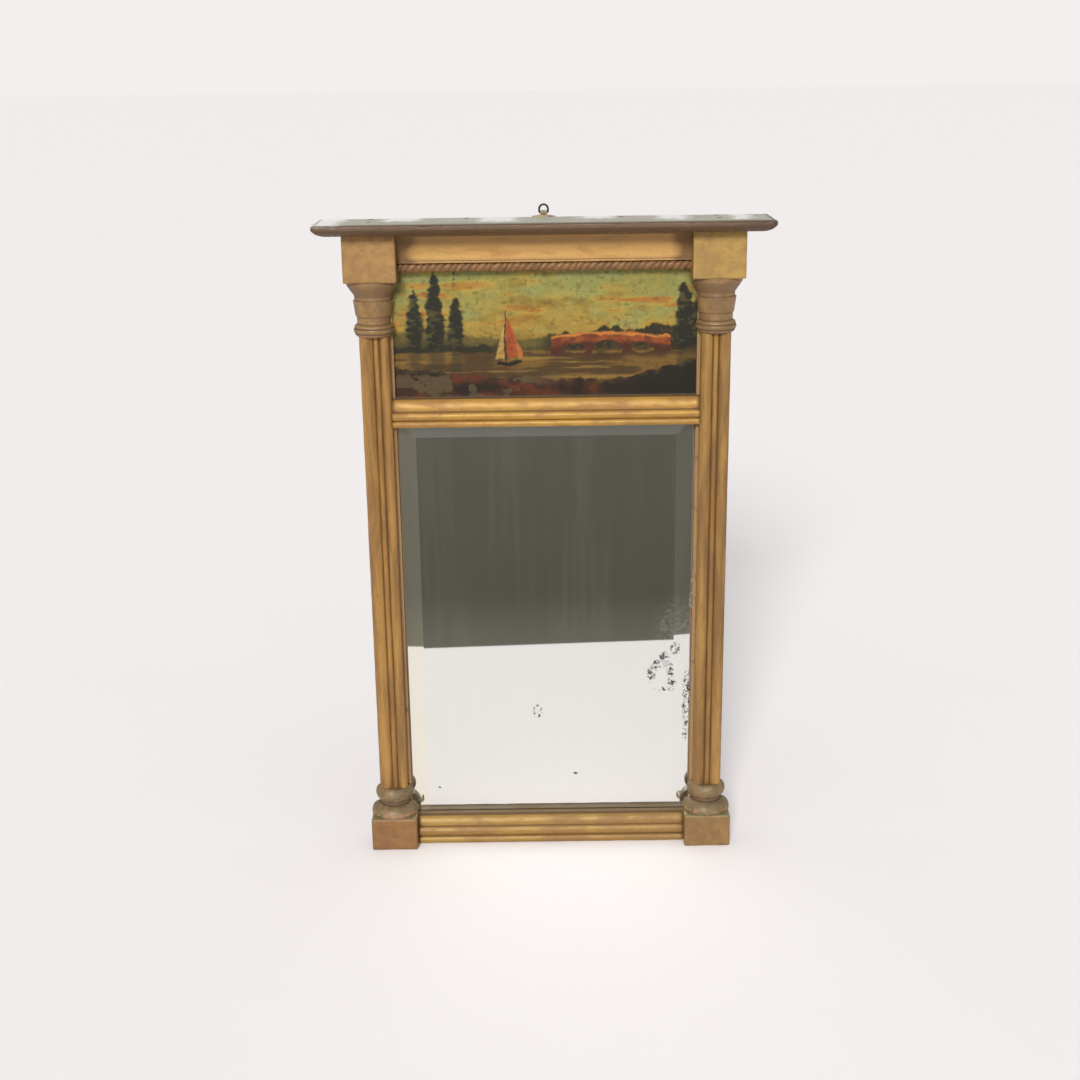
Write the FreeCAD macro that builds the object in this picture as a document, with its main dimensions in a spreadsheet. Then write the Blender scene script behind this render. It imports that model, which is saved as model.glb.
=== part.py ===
import FreeCAD, Part
import math
import os
from types import SimpleNamespace

import Sketcher

# Pier mirror. A softwood carcase of two stiles and three rails holds a painted glass and a bevelled mirror
# plate in its rebates, and carries the gilt mouldings, the half columns and the flat cornice.
# Millimetres: the back lies on the plane y = 0 and the front faces -Y, +X is to the viewer's right, and
# z = 0 is the underside of the plinths, with x = 0 halfway between them.

DRIVING_SIZES = {
    # openings and rails, from the bottom up
    "sight_width": 380,
    "bottom_rail_height": 39.5,
    "mirror_sight_height": 545.5,
    "mid_rail_height": 36,
    "panel_sight_height": 158,
    "rope_height": 12,
    "frieze_height": 37,
    # carcase
    "carcase_depth": 24,
    "lip_thickness": 7,
    "stile_setback": 1.2,
    "tenon_length": 20,
    "tenon_thickness": 4,
    "tenon_shoulder": 8,
    "joint_gap": 0.1,
    # glasses, their rebates and what holds them
    "glass_rebate": 7,
    "head_rebate": 13.4,
    "glass_play": 1,
    "mirror_thickness": 5,
    "bevel_width": 29.4,
    "bevel_drop": 2,
    "panel_thickness": 2.5,
    "glue_block_length": 32,
    "glue_block_width": 11,
    "board_thickness": 6,
    "board_lap": 8,
    # half columns
    "sight_fillet": 3.8,
    "column_width": 37.4,
    "column_seat_radius": 20.9,
    "column_flat": 10.4,
    "groove_stand": 10.8,
    "bead_width": 7.4,
    "bead_rise": 3.2,
    "left_bead_shift": 2.6,
    # turned bases
    "base_foot_radius": 32.4,
    "base_neck_radius": 20.6,
    "base_ring_radius": 25.8,
    "base_foot_height": 15.5,
    "base_fillet_height": 4.7,
    "base_ring_height": 19.3,
    # turned capitals, from the bottom up
    "ring_radius": 25.7,
    "neck_radius": 21,
    "drum_foot_radius": 22.4,
    "drum_radius": 25,
    "quirk_radius": 23.2,
    "flare_radius": 32.3,
    "ring_height": 15.5,
    "neck_height": 10,
    "drum_height": 19.5,
    "quirk_height": 5.5,
    "flare_height": 13.5,
    "abacus_height": 5,
    # plinths and upper blocks
    "plinth_width": 62,
    "plinth_depth": 31,
    "plinth_height": 46,
    "plinth_edge": 2.6,
    "block_width": 65,
    "block_depth": 32.5,
    "block_height": 58,
    "block_edge": 1.4,
    # front mouldings: how far each stands out from the carcase
    "reed_crest": 15.5,
    "reed_root": 11.5,
    "reed_head": 4.5,
    "mid_reed_low": 8.8,
    "mid_reed_middle": 11,
    "bottom_reed_low": 11,
    "bottom_reed_middle": 14,
    "rope_stand": 11,
    "rope_seat": 5.4,
    "frieze_fillet": 2.6,
    "frieze_fillet_stand": 12.5,
    "frieze_root": 10.5,
    "frieze_stand": 24,
    "frieze_lip": 2,
    # cornice
    "cornice_thickness": 14,
    "cornice_depth": 88,
    "cornice_overhang": 32,
    "cornice_nose_run": 19,
    "cornice_nose_lift": 8.6,
    "cornice_edge": 2.2,
    "cornice_corner": 6,
    # hanging plate and loop
    "plate_width": 29.6,
    "plate_thickness": 2,
    "plate_drop": 29,
    "plate_round": 10,
    "plate_rise": 1,
    "plate_gap": 0.3,
    "knuckle_radius": 2.5,
    "knuckle_width": 7.3,
    "knuckle_rise": 5.5,
    "wire_diameter": 2.5,
    "pin_clearance": 0.05,
    "loop_width": 13.2,
    "loop_bend": 1.5,
    "loop_leg": 2.65,
    # fasteners
    "nail_shank": 1.8,
    "nail_length": 16,
    "nail_head": 4.6,
    "nail_head_thickness": 0.9,
    "cornice_nail_shank": 2.4,
    "cornice_nail_length": 44,
    "cornice_nail_head": 5.6,
    "cornice_nail_head_thickness": 1.2,
    "screw_shank": 2.8,
    "screw_length": 15,
    "screw_head": 5.6,
    "screw_head_height": 1.5,
    "screw_slot": 0.8,
    "screw_slot_depth": 0.7,
    "screw_spread": 9,
    "screw_rise": 13,
    "screw_foot": 7,
    "hole_clearance": 0.05,
}


class Span:
    """A length that keeps both its number and the sheet expression that gives it."""

    def __init__(self, number, words):
        self.number = float(number)
        self.words = words

    def __add__(self, other):
        other = span(other)
        return Span(self.number + other.number, f"({self.words} + {other.words})")

    def __sub__(self, other):
        other = span(other)
        return Span(self.number - other.number, f"({self.words} - {other.words})")

    def __mul__(self, factor):
        return Span(self.number * factor, f"({self.words} * ({factor}))")

    def __truediv__(self, factor):
        return Span(self.number / factor, f"({self.words} / ({factor}))")

    def __neg__(self):
        return Span(-self.number, f"(0 - {self.words})")


def span(value):
    """A span as it is, and a plain number as a span."""
    if isinstance(value, Span):
        return value
    return Span(value, f"({float(value)})")


doc = FreeCAD.newDocument("pier_mirror")
sheet = doc.addObject("Spreadsheet::Sheet", "Sizes")
for row, (name, number) in enumerate(DRIVING_SIZES.items(), start=1):
    sheet.set(f"A{row}", name)
    sheet.set(f"B{row}", str(number))
    sheet.setAlias(f"B{row}", name)
doc.recompute()
size = SimpleNamespace(**{name: Span(sheet.get(name), f"Sizes.{name}") for name in DRIVING_SIZES})

SIDES = {"left": -1, "right": 1}
nodes = []


def keep(item, name):
    """Name a finished piece and put it on the list of nodes."""
    item.Label = name
    nodes.append(item)
    return item


def bind(item, **lengths):
    """Tie properties of a document object to the sheet."""
    for name, length in lengths.items():
        item.setExpression(name, span(length).words)


def place(item, x=0, y=0, z=0):
    """Tie an object's position to the sheet and leave its turn as it is."""
    for axis, length in zip("xyz", (x, y, z)):
        item.setExpression(f"Placement.Base.{axis}", span(length).words)
    return item


def turn(item, axis, degrees):
    """Turn an object about an axis through its own origin."""
    item.Placement = FreeCAD.Placement(FreeCAD.Vector(), FreeCAD.Rotation(FreeCAD.Vector(*axis), degrees))
    return item


def box(name, low, high):
    """Straight-sided block between its lowest and its highest corner."""
    item = doc.addObject("Part::Box", name)
    edges = [span(b) - span(a) for a, b in zip(low, high)]
    bind(item, Length=edges[0], Width=edges[1], Height=edges[2])
    return place(item, *low)


def cylinder(name, radius, height):
    """Round bar along +Z from its own origin."""
    item = doc.addObject("Part::Cylinder", name)
    bind(item, Radius=radius, Height=height)
    return item


def fuse(name, *items):
    """One solid from several that touch or overlap."""
    item = doc.addObject("Part::MultiFuse", name)
    item.Shapes = list(items)
    return item


def cut(name, base, *tools):
    """A piece with one or more tools taken out of it, one after the other."""
    for number, tool in enumerate(tools, start=1):
        last = number == len(tools)
        item = doc.addObject("Part::Cut", name if last else f"{name}_cut_{number}")
        item.Base = base
        item.Tool = tool
        base = item
    return base


def copies(name, pattern, places):
    """Group of equal solids: one finished pattern moved to each place."""
    doc.recompute()
    solids = []
    for x, y, z in places:
        solid = pattern.Shape.copy()
        solid.translate(FreeCAD.Vector(span(x).number, span(y).number, span(z).number))
        solids.append(solid)
    item = doc.addObject("Part::Feature", name)
    item.Shape = Part.makeCompound(solids)
    return item


def outline(body, role, points):
    """Closed sketch on one of the body's own planes, with every point bound to the sheet.

    A point (x, y) ends a straight run. A point (x, y, through_x, through_y) ends an arc of a circle that
    passes through the second pair.
    """
    plane = next(item for item in body.Origin.OriginFeatures if item.Role == role)
    sketch = body.newObject("Sketcher::SketchObject", f"{body.Name}_outline")
    sketch.AttachmentSupport = [(plane, "")]
    sketch.MapMode = "FlatFace"

    def vector(x, y):
        return FreeCAD.Vector(span(x).number, span(y).number, 0)

    def hold(index, position, x, y):
        for kind, length in (("DistanceX", span(x)), ("DistanceY", span(y))):
            rule = sketch.addConstraint(Sketcher.Constraint(kind, -1, 1, index, position, length.number))
            sketch.setExpression(f"Constraints[{rule}]", length.words)

    runs = []
    for before, point in zip(points[-1:] + points[:-1], points):
        start, end = vector(*before[:2]), vector(*point[:2])
        if len(point) == 2:
            index = sketch.addGeometry(Part.LineSegment(start, end), False)
            runs.append((index, 1, 2))
            continue
        through = vector(*point[2:])
        circle = Part.Arc(start, through, end).toShape().Curve
        first = math.atan2(start.y - circle.Center.y, start.x - circle.Center.x)
        last = math.atan2(end.y - circle.Center.y, end.x - circle.Center.x)
        left_turn = (through - start).cross(end - through).z > 0
        if not left_turn:
            first, last = last, first
        if last < first:
            last += 2 * math.pi
        round_edge = Part.Circle(circle.Center, FreeCAD.Vector(0, 0, 1), circle.Radius)
        index = sketch.addGeometry(Part.ArcOfCircle(round_edge, first, last), False)
        runs.append((index, 1, 2) if left_turn else (index, 2, 1))
        mark = sketch.addGeometry(Part.Point(through), True)
        hold(mark, 1, *point[2:])
        sketch.addConstraint(Sketcher.Constraint("PointOnObject", mark, 1, index))
    for (index, start, end), (after, after_start, after_end) in zip(runs, runs[1:] + runs[:1]):
        sketch.addConstraint(Sketcher.Constraint("Coincident", index, end, after, after_start))
    for (index, start, end), point in zip(runs, points):
        hold(index, end, *point[:2])
    return sketch


def bar(name, role, points, length):
    """Body of one profile carried straight out from its plane."""
    body = doc.addObject("PartDesign::Body", name)
    pad = body.newObject("PartDesign::Pad", f"{name}_pad")
    pad.Profile = outline(body, role, points)
    bind(pad, Length=length)
    return body


def half_turning(name, points):
    """Body of a half-round turning: a profile of (radius, height) turned half a circle across the front."""
    body = doc.addObject("PartDesign::Body", name)
    sketch = outline(body, "XZ_Plane", points)
    turned = body.newObject("PartDesign::Revolution", f"{name}_turned")
    turned.Profile = sketch
    turned.ReferenceAxis = (sketch, ["V_Axis"])
    turned.Angle = 180
    turned.Reversed = True
    return body


def ease(body, radius, chosen):
    """Round the edges of a body's last feature that the test picks by their middle point."""
    doc.recompute()
    sharp = body.Tip
    edges = enumerate(sharp.Shape.Edges, start=1)
    fillet = body.newObject("PartDesign::Fillet", f"{body.Name}_eased")
    fillet.Base = (sharp, [f"Edge{number}" for number, edge in edges if chosen(edge.CenterOfMass)])
    bind(fillet, Radius=radius)
    return body


# Levels and places that several pieces share.
half_sight = size.sight_width / 2
mid_rail_base = size.bottom_rail_height + size.mirror_sight_height
panel_base = mid_rail_base + size.mid_rail_height
rope_base = panel_base + size.panel_sight_height
frieze_base = rope_base + size.rope_height
carcase_top = frieze_base + size.frieze_height
cornice_top = carcase_top + size.cornice_thickness
front = -size.carcase_depth
glass_front = size.lip_thickness - size.carcase_depth
board_front = -size.board_thickness
column_axis = half_sight + size.sight_fillet + size.column_width / 2
block_base = carcase_top - size.block_height
capital_height = (size.ring_height + size.neck_height + size.drum_height + size.quirk_height
                  + size.flare_height + size.abacus_height)
capital_base = block_base - capital_height
base_height = size.base_foot_height + size.base_fillet_height + size.base_ring_height
column_foot = size.plinth_height + base_height
block_inner = column_axis - size.block_width / 2
plinth_inner = column_axis - size.plinth_width / 2
cornice_half = column_axis + size.block_width / 2 + size.cornice_overhang
board_edge = half_sight + size.glass_rebate + size.board_lap
board_foot = size.bottom_rail_height - size.glass_rebate - size.board_lap
board_head = rope_base + size.glass_rebate + size.board_lap
mirror_space_head = mid_rail_base + size.head_rebate
panel_space_foot = panel_base - size.glass_rebate
board_joint = (mirror_space_head + panel_space_foot) / 2
board_middle = (board_foot + board_joint) / 2
plate_foot = carcase_top - size.plate_drop


def nail_pattern(name, shank, length, head, head_thickness, clearance=0):
    """Nail that points down, its head's top at the origin; a clearance makes the hole that takes it."""
    stem = cylinder(f"{name}_stem", shank / 2 + clearance, length + clearance)
    place(stem, z=-(length + clearance))
    cap = cylinder(f"{name}_cap", head / 2 + clearance, head_thickness)
    place(cap, z=-head_thickness)
    return fuse(name, stem, cap)


# Backboard nails: driven from the back along the stiles and the three rails, heads flush with the back.
nail_sizes = (size.nail_shank, size.nail_length, size.nail_head, size.nail_head_thickness)
nail_line = board_edge - size.board_lap / 2
nail_inset = size.board_lap * 3
nail_rows = [board_foot + nail_inset, (board_foot + board_middle) / 2, board_middle - nail_inset,
             board_middle + nail_inset, (board_middle + board_joint) / 2, board_joint - nail_inset,
             board_joint + nail_inset, board_head - nail_inset]
rail_rows = [board_foot + size.board_lap / 2, board_joint - size.board_lap / 2,
             board_joint + size.board_lap / 2, board_head - size.board_lap / 2]
nail_places = [(nail_line * side, 0, z) for z in nail_rows for side in SIDES.values()]
nail_places += [(half_sight * share, 0, z) for z in rail_rows for share in (-0.64, 0, 0.64)]
back_nail = turn(nail_pattern("back_nail", *nail_sizes), (1, 0, 0), -90)
back_nail_hole = turn(nail_pattern("back_nail_hole", *nail_sizes, size.hole_clearance), (1, 0, 0), -90)
keep(copies("backboard_nails", back_nail, nail_places), "backboard_nails")
nail_holes = copies("nail_holes", back_nail_hole, nail_places)

# Cornice nails: driven down through the cornice into the stiles, the top rail and the upper blocks.
cornice_nail_sizes = (size.cornice_nail_shank, size.cornice_nail_length,
                      size.cornice_nail_head, size.cornice_nail_head_thickness)
carcase_nail_y = glass_front / 2
block_nail_y = front - size.block_depth / 2
cornice_nail_places = [(column_axis * side, y, cornice_top)
                       for side in SIDES.values() for y in (carcase_nail_y, block_nail_y)]
cornice_nail_places += [(half_sight / 2 * side, carcase_nail_y, cornice_top) for side in SIDES.values()]
down_nail = nail_pattern("down_nail", *cornice_nail_sizes)
down_nail_hole = nail_pattern("down_nail_hole", *cornice_nail_sizes, size.hole_clearance)
keep(copies("cornice_nails", down_nail, cornice_nail_places), "cornice_nails")
cornice_nail_holes = copies("cornice_nail_holes", down_nail_hole, cornice_nail_places)


def screw_pattern(name, clearance=0):
    """Countersunk wood screw that points down, its head's top at the origin."""
    head = doc.addObject("Part::Cone", f"{name}_head")
    bind(head, Radius1=size.screw_shank / 2 + clearance, Radius2=size.screw_head / 2 + clearance,
         Height=size.screw_head_height)
    place(head, z=-size.screw_head_height)
    stem = cylinder(f"{name}_stem", size.screw_shank / 2 + clearance, size.screw_length + clearance)
    place(stem, z=-(size.screw_length + clearance))
    return fuse(name, head, stem)


# Hanger screws: three slotted screws through the hanging plate into the top rail.
screw_blank = screw_pattern("screw_blank")
slot = box("screw_slot_tool", (-size.screw_head, -size.screw_slot / 2, -size.screw_slot_depth),
           (size.screw_head, size.screw_slot / 2, size.screw_slot_depth))
hanger_screw = turn(cut("hanger_screw", screw_blank, slot), (1, 0, 0), -90)
screw_hole = turn(screw_pattern("screw_hole", size.hole_clearance), (1, 0, 0), -90)
screw_places = [(0, 0, plate_foot + size.screw_foot)]
screw_places += [(size.screw_spread * side, 0, plate_foot + size.screw_foot + size.screw_rise)
                 for side in SIDES.values()]
keep(copies("hanger_screws", hanger_screw, screw_places), "hanger_screws")
screw_holes = copies("screw_holes", screw_hole, screw_places)

# Rebates: the room taken out of the carcase for the two glasses and, behind them, for the backboards.
mirror_room = box("mirror_room", (-half_sight - size.glass_rebate, glass_front,
                                  size.bottom_rail_height - size.glass_rebate),
                  (half_sight + size.glass_rebate, 0, mirror_space_head))
panel_room = box("panel_room", (-half_sight - size.glass_rebate, glass_front, panel_space_foot),
                 (half_sight + size.glass_rebate, 0, rope_base + size.glass_rebate))
board_room = box("board_room", (-board_edge, board_front, board_foot), (board_edge, 0, board_head))
rebates = fuse("rebates", mirror_room, panel_room, board_room)

# Rails: pine boards between the stiles, with a stub tenon at each end in the thickness of the front lip.
RAILS = {
    "bottom_rail": (span(0), size.bottom_rail_height),
    "mid_rail": (mid_rail_base, panel_base),
    "top_rail": (rope_base, carcase_top),
}
tenon_middle = front + size.lip_thickness / 2


def tenon(name, foot, head, side, gap=0):
    """Stub tenon at one end of a rail; a gap makes the mortise that takes it."""
    inner = half_sight - gap
    outer = half_sight + size.tenon_length + gap
    x_low, x_high = (inner, outer) if side > 0 else (-outer, -inner)
    half = size.tenon_thickness / 2 + gap
    return box(name, (x_low, tenon_middle - half, foot + size.tenon_shoulder - gap),
               (x_high, tenon_middle + half, head - size.tenon_shoulder + gap))


plate_room = box("plate_room", (-size.plate_width / 2 - size.plate_gap, -size.plate_thickness,
                                plate_foot - size.plate_gap),
                 (size.plate_width / 2 + size.plate_gap, 0, cornice_top))
for rail, (foot, head) in RAILS.items():
    board = box(f"{rail}_board", (-half_sight, front, foot), (half_sight, 0, head))
    ends = [tenon(f"{rail}_tenon_{word}", foot, head, side) for word, side in SIDES.items()]
    tools = [rebates, nail_holes]
    if rail == "top_rail":
        tools += [cornice_nail_holes, plate_room, screw_holes]
    keep(cut(rail, fuse(f"{rail}_tenoned", board, *ends), *tools), rail)

# Stiles: pine uprights from the floor to the cornice, rebated at the back and mortised for the rails.
stile_outer = column_axis + size.column_width / 2 - size.stile_setback
for word, side in SIDES.items():
    x_low, x_high = (half_sight, stile_outer) if side > 0 else (-stile_outer, -half_sight)
    upright = box(f"stile_{word}_upright", (x_low, front, 0), (x_high, 0, carcase_top))
    mortises = [tenon(f"stile_{word}_{rail}_mortise", foot, head, side, size.joint_gap)
                for rail, (foot, head) in RAILS.items()]
    keep(cut(f"stile_{word}", upright, rebates, *mortises, nail_holes, cornice_nail_holes), f"stile_{word}")

# Mirror plate: a flat back part, and a front part that the wide bevel tapers.
glass_half = half_sight + size.glass_rebate - size.glass_play
mirror_foot = size.bottom_rail_height - size.glass_rebate + size.glass_play
mirror_head = mirror_space_head - size.glass_play
bevel_back = glass_front + size.bevel_drop
plate_back = box("mirror_plate_back", (-glass_half, bevel_back, mirror_foot),
                 (glass_half, glass_front + size.mirror_thickness, mirror_head))
plate_bevel = doc.addObject("Part::Wedge", "mirror_plate_bevel")
bind(plate_bevel, Xmin=-(glass_half - size.bevel_width), Xmax=glass_half - size.bevel_width,
     Zmin=mirror_foot + size.bevel_width, Zmax=mirror_head - size.bevel_width,
     X2min=-glass_half, X2max=glass_half, Z2min=mirror_foot, Z2max=mirror_head, Ymin=0, Ymax=size.bevel_drop)
place(plate_bevel, y=glass_front)
keep(fuse("mirror_plate", plate_back, plate_bevel), "mirror_plate")

# Painted panel: thin glass, painted on its back, above the middle rail.
panel_foot = panel_space_foot + size.glass_play
panel_head = rope_base + size.glass_rebate - size.glass_play
keep(box("painted_panel", (-glass_half, glass_front, panel_foot),
         (glass_half, glass_front + size.panel_thickness, panel_head)), "painted_panel")


def glue_blocks(name, glass_back, foot, head, upright_levels):
    """Small wood blocks behind a glass: three along its foot, three along its head, and some up each side."""
    half_length = size.glue_block_length / 2
    wide = half_sight + size.glass_rebate
    blocks = []
    for share in (-0.6, 0, 0.6):
        middle = half_sight * share
        for low, high in ((foot, foot + size.glue_block_width), (head - size.glue_block_width, head)):
            blocks.append(box(f"{name}_{len(blocks)}", (middle - half_length, glass_back, low),
                              (middle + half_length, board_front, high)))
    for level in upright_levels:
        middle = foot + (head - foot) * level
        for x_low, x_high in ((-wide, -wide + size.glue_block_width), (wide - size.glue_block_width, wide)):
            blocks.append(box(f"{name}_{len(blocks)}", (x_low, glass_back, middle - half_length),
                              (x_high, board_front, middle + half_length)))
    group = doc.addObject("Part::Compound", name)
    group.Links = blocks
    return keep(group, name)


glue_blocks("mirror_blocks", glass_front + size.mirror_thickness, size.bottom_rail_height - size.glass_rebate,
            mirror_space_head, (0.2, 0.5, 0.8))
glue_blocks("panel_blocks", glass_front + size.panel_thickness, panel_space_foot,
            rope_base + size.glass_rebate, (0.5,))

# Backboards: three thin boards nailed into the rebate; their joints lie on the middle rail and at mid height.
BOARDS = {
    "mirror_backboard_lower": (board_foot, board_middle),
    "mirror_backboard_upper": (board_middle, board_joint),
    "panel_backboard": (board_joint, board_head),
}
for name, (foot, head) in BOARDS.items():
    board = box(f"{name}_board", (-board_edge, board_front, foot), (board_edge, 0, head))
    keep(cut(name, board, nail_holes), name)


def reeded_bar(name, low, middle, height, length):
    """Front moulding of two reeds and a wider one above that falls back to the glass; its back is flat."""
    root, crest, top_stand = -size.reed_root, -size.reed_crest, -size.reed_head
    top_start = low + middle
    return bar(name, "YZ_Plane", [
        (span(0), span(0)),
        (root, span(0)),
        (root, low, crest, low / 2),
        (root, top_start, crest, low + middle / 2),
        (top_stand, height,
         top_stand + (root - top_stand) * 0.87, top_start + (height - top_start) * 0.57),
        (span(0), height),
    ], length)


# Reeded mouldings: one across the middle rail between the columns, one across the bottom between the plinths.
mid_length = (column_axis - size.column_width / 2) * 2
mid_moulding = reeded_bar("mid_rail_moulding", size.mid_reed_low, size.mid_reed_middle,
                          size.mid_rail_height, mid_length)
keep(place(mid_moulding, -mid_length / 2, front, mid_rail_base), "mid_rail_moulding")
bottom_moulding = reeded_bar("bottom_rail_moulding", size.bottom_reed_low, size.bottom_reed_middle,
                             size.bottom_rail_height, plinth_inner * 2)
keep(place(bottom_moulding, -plinth_inner, front), "bottom_rail_moulding")

# Rope moulding: a round-fronted strip on the top rail's lower edge, between the upper blocks.
rope_moulding = bar("rope_moulding", "YZ_Plane", [
    (span(0), span(0)),
    (-size.rope_seat, span(0)),
    (-size.rope_seat, size.rope_height, -size.rope_stand, size.rope_height / 2),
    (span(0), size.rope_height),
], block_inner * 2)
keep(place(rope_moulding, -block_inner, front, rope_base), "rope_moulding")

# Frieze: a fillet below a tall cove that comes forward under the cornice.
cove_foot = size.frieze_fillet
cove_head = size.frieze_height - size.frieze_lip
cove_reach = size.frieze_stand - size.frieze_root
frieze_moulding = bar("frieze_moulding", "YZ_Plane", [
    (span(0), span(0)),
    (-size.frieze_fillet_stand, span(0)),
    (-size.frieze_fillet_stand, cove_foot),
    (-size.frieze_root, cove_foot),
    (-size.frieze_stand, cove_head,
     -size.frieze_root - cove_reach * 0.27, cove_foot + (cove_head - cove_foot) * 0.55),
    (-size.frieze_stand, size.frieze_height),
    (span(0), size.frieze_height),
], block_inner * 2)
keep(place(frieze_moulding, -block_inner, front, frieze_base), "frieze_moulding")

# Half columns: two reeds with a bead between them, flat at the back; the left one was worked with its bead
# a little nearer to the glass.
half_column = size.column_width / 2
BEAD_MIDDLES = {"left": size.left_bead_shift, "right": span(0)}


def column_section(bead_middle):
    """Half column in plan for a bead with its middle at that distance; the wider reed stands out more."""
    bead_low = bead_middle - size.bead_width / 2
    bead_high = bead_middle + size.bead_width / 2
    groove = -size.groove_stand
    low_crest = -size.column_flat - (half_column + bead_low) * 0.35
    high_crest = -size.column_flat - (half_column - bead_high) * 0.35
    return [
        (half_column, span(0)),
        (-half_column, span(0)),
        (-half_column, -size.column_flat),
        (bead_low, groove, (bead_low - half_column) / 2, low_crest),
        (bead_high, groove, bead_middle, groove - size.bead_rise),
        (half_column, -size.column_flat, (bead_high + half_column) / 2, high_crest),
    ]


# Turned capital as (radius, height): ring, neck, tapered drum, quirk and straight flare, under an abacus.
drum_base = size.ring_height + size.neck_height
quirk_base = drum_base + size.drum_height
flare_base = quirk_base + size.quirk_height
abacus_base = flare_base + size.flare_height
capital_profile = [
    (span(0), span(0)),
    (size.column_seat_radius, span(0)),
    (size.neck_radius + (size.ring_radius - size.neck_radius) * 0.3, size.ring_height,
     size.ring_radius, size.ring_height * 0.54),
    (size.neck_radius, size.ring_height),
    (size.neck_radius, drum_base),
    (size.drum_foot_radius, drum_base),
    (size.drum_radius, quirk_base),
    (size.quirk_radius, quirk_base),
    (size.quirk_radius, flare_base),
    (size.flare_radius, abacus_base),
    (size.flare_radius, capital_height),
    (span(0), capital_height),
]

# Turned base as (radius, height): a quarter-round foot, a fillet, and a smaller ring under the column.
fillet_base = size.base_foot_height
base_ring_base = fillet_base + size.base_fillet_height
foot_reach = size.base_foot_radius - size.base_neck_radius
base_profile = [
    (span(0), span(0)),
    (size.base_foot_radius - foot_reach * 0.02, span(0)),
    (size.base_neck_radius + foot_reach * 0.17, fillet_base,
     size.base_foot_radius - foot_reach * 0.15, size.base_foot_height * 0.52),
    (size.base_neck_radius, fillet_base),
    (size.base_neck_radius, base_ring_base),
    (size.column_seat_radius, base_height,
     size.base_ring_radius, base_ring_base + size.base_ring_height * 0.47),
    (span(0), base_height),
]


def rounded_block(name, width, depth, height, edge):
    """Square block with eased front edges; its flat back lies on the carcase."""
    body = bar(name, "XY_Plane", [
        (width / 2, span(0)),
        (-width / 2, span(0)),
        (-width / 2, -depth),
        (width / 2, -depth),
    ], height)
    return ease(body, edge, lambda middle: middle.y < edge.number - depth.number)


for word, side in SIDES.items():
    axis = column_axis * side
    plinth = rounded_block(f"plinth_{word}", size.plinth_width, size.plinth_depth,
                           size.plinth_height, size.plinth_edge)
    keep(place(plinth, axis, front), f"plinth_{word}")
    base = half_turning(f"column_base_{word}", base_profile)
    keep(place(base, axis, front, size.plinth_height), f"column_base_{word}")
    section = column_section(BEAD_MIDDLES[word])
    column = bar(f"column_{word}", "XY_Plane", section, capital_base - column_foot)
    keep(place(column, axis, front, column_foot), f"column_{word}")
    capital = half_turning(f"capital_{word}", capital_profile)
    keep(place(capital, axis, front, capital_base), f"capital_{word}")
    blank = rounded_block(f"upper_block_{word}_blank", size.block_width, size.block_depth,
                          size.block_height, size.block_edge)
    place(blank, axis, front, block_base)
    keep(cut(f"upper_block_{word}", blank, cornice_nail_holes), f"upper_block_{word}")

# Cornice: one board that thins to a nose along the front and both ends. It is what three bars have in common:
# its plan with the rounded front corners, its section from back to front and its section from end to end.
thickness, depth = size.cornice_thickness, size.cornice_depth
run, lift, edge = size.cornice_nose_run, size.cornice_nose_lift, size.cornice_edge
eased_share = 1 - math.sqrt(0.5)
inset = size.cornice_corner * eased_share
eased = edge * eased_share
cornice_plan = bar("cornice_plan", "XY_Plane", [
    (cornice_half, span(0)),
    (-cornice_half, span(0)),
    (-cornice_half, size.cornice_corner - depth),
    (size.cornice_corner - cornice_half, -depth, inset - cornice_half, inset - depth),
    (cornice_half - size.cornice_corner, -depth),
    (cornice_half, size.cornice_corner - depth, cornice_half - inset, inset - depth),
], thickness)
cornice_across = bar("cornice_across", "YZ_Plane", [
    (span(0), span(0)),
    (run - depth, span(0)),
    (-depth, lift, run / 2 - depth, lift * 0.22),
    (-depth, thickness - edge),
    (edge - depth, thickness, eased - depth, thickness - eased),
    (span(0), thickness),
], cornice_half * 2)
cornice_along = bar("cornice_along", "XZ_Plane", [
    (cornice_half - run, span(0)),
    (cornice_half, lift, cornice_half - run / 2, lift * 0.22),
    (cornice_half, thickness - edge),
    (cornice_half - edge, thickness, cornice_half - eased, thickness - eased),
    (edge - cornice_half, thickness),
    (-cornice_half, thickness - edge, eased - cornice_half, thickness - eased),
    (-cornice_half, lift),
    (run - cornice_half, span(0), run / 2 - cornice_half, lift * 0.22),
], depth)
place(cornice_across, x=-cornice_half)
cornice_body = doc.addObject("Part::MultiCommon", "cornice_body")
cornice_body.Shapes = [cornice_plan, cornice_across, cornice_along]
place(cornice_body, z=carcase_top)
keep(cut("cornice_board", cornice_body, cornice_nail_holes, plate_room), "cornice_board")

# Hanging plate: shaped plate let in flush behind the cornice, its top rolled into a knuckle for the loop.
knuckle_level = cornice_top + size.knuckle_rise
shoulder_level = cornice_top + size.plate_rise
tongue = size.knuckle_width / 2
plate_half = size.plate_width / 2
tongue_foot = knuckle_level - size.knuckle_radius
hump_x = tongue + (plate_half - tongue) * 0.45
hump_z = shoulder_level + (tongue_foot - shoulder_level) * 0.42
plate_body = bar("hanger_plate_body", "XZ_Plane", [
    (plate_half, plate_foot + size.plate_round, span(0), plate_foot),
    (plate_half, shoulder_level),
    (tongue, tongue_foot, hump_x, hump_z),
    (tongue, knuckle_level),
    (-tongue, knuckle_level),
    (-tongue, tongue_foot),
    (-plate_half, shoulder_level, -hump_x, hump_z),
    (-plate_half, plate_foot + size.plate_round),
], size.plate_thickness)
knuckle = turn(cylinder("knuckle", size.knuckle_radius, size.knuckle_width), (0, 1, 0), 90)
place(knuckle, -tongue, -size.knuckle_radius, knuckle_level)
bore_radius = size.wire_diameter / 2 + size.pin_clearance
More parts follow.
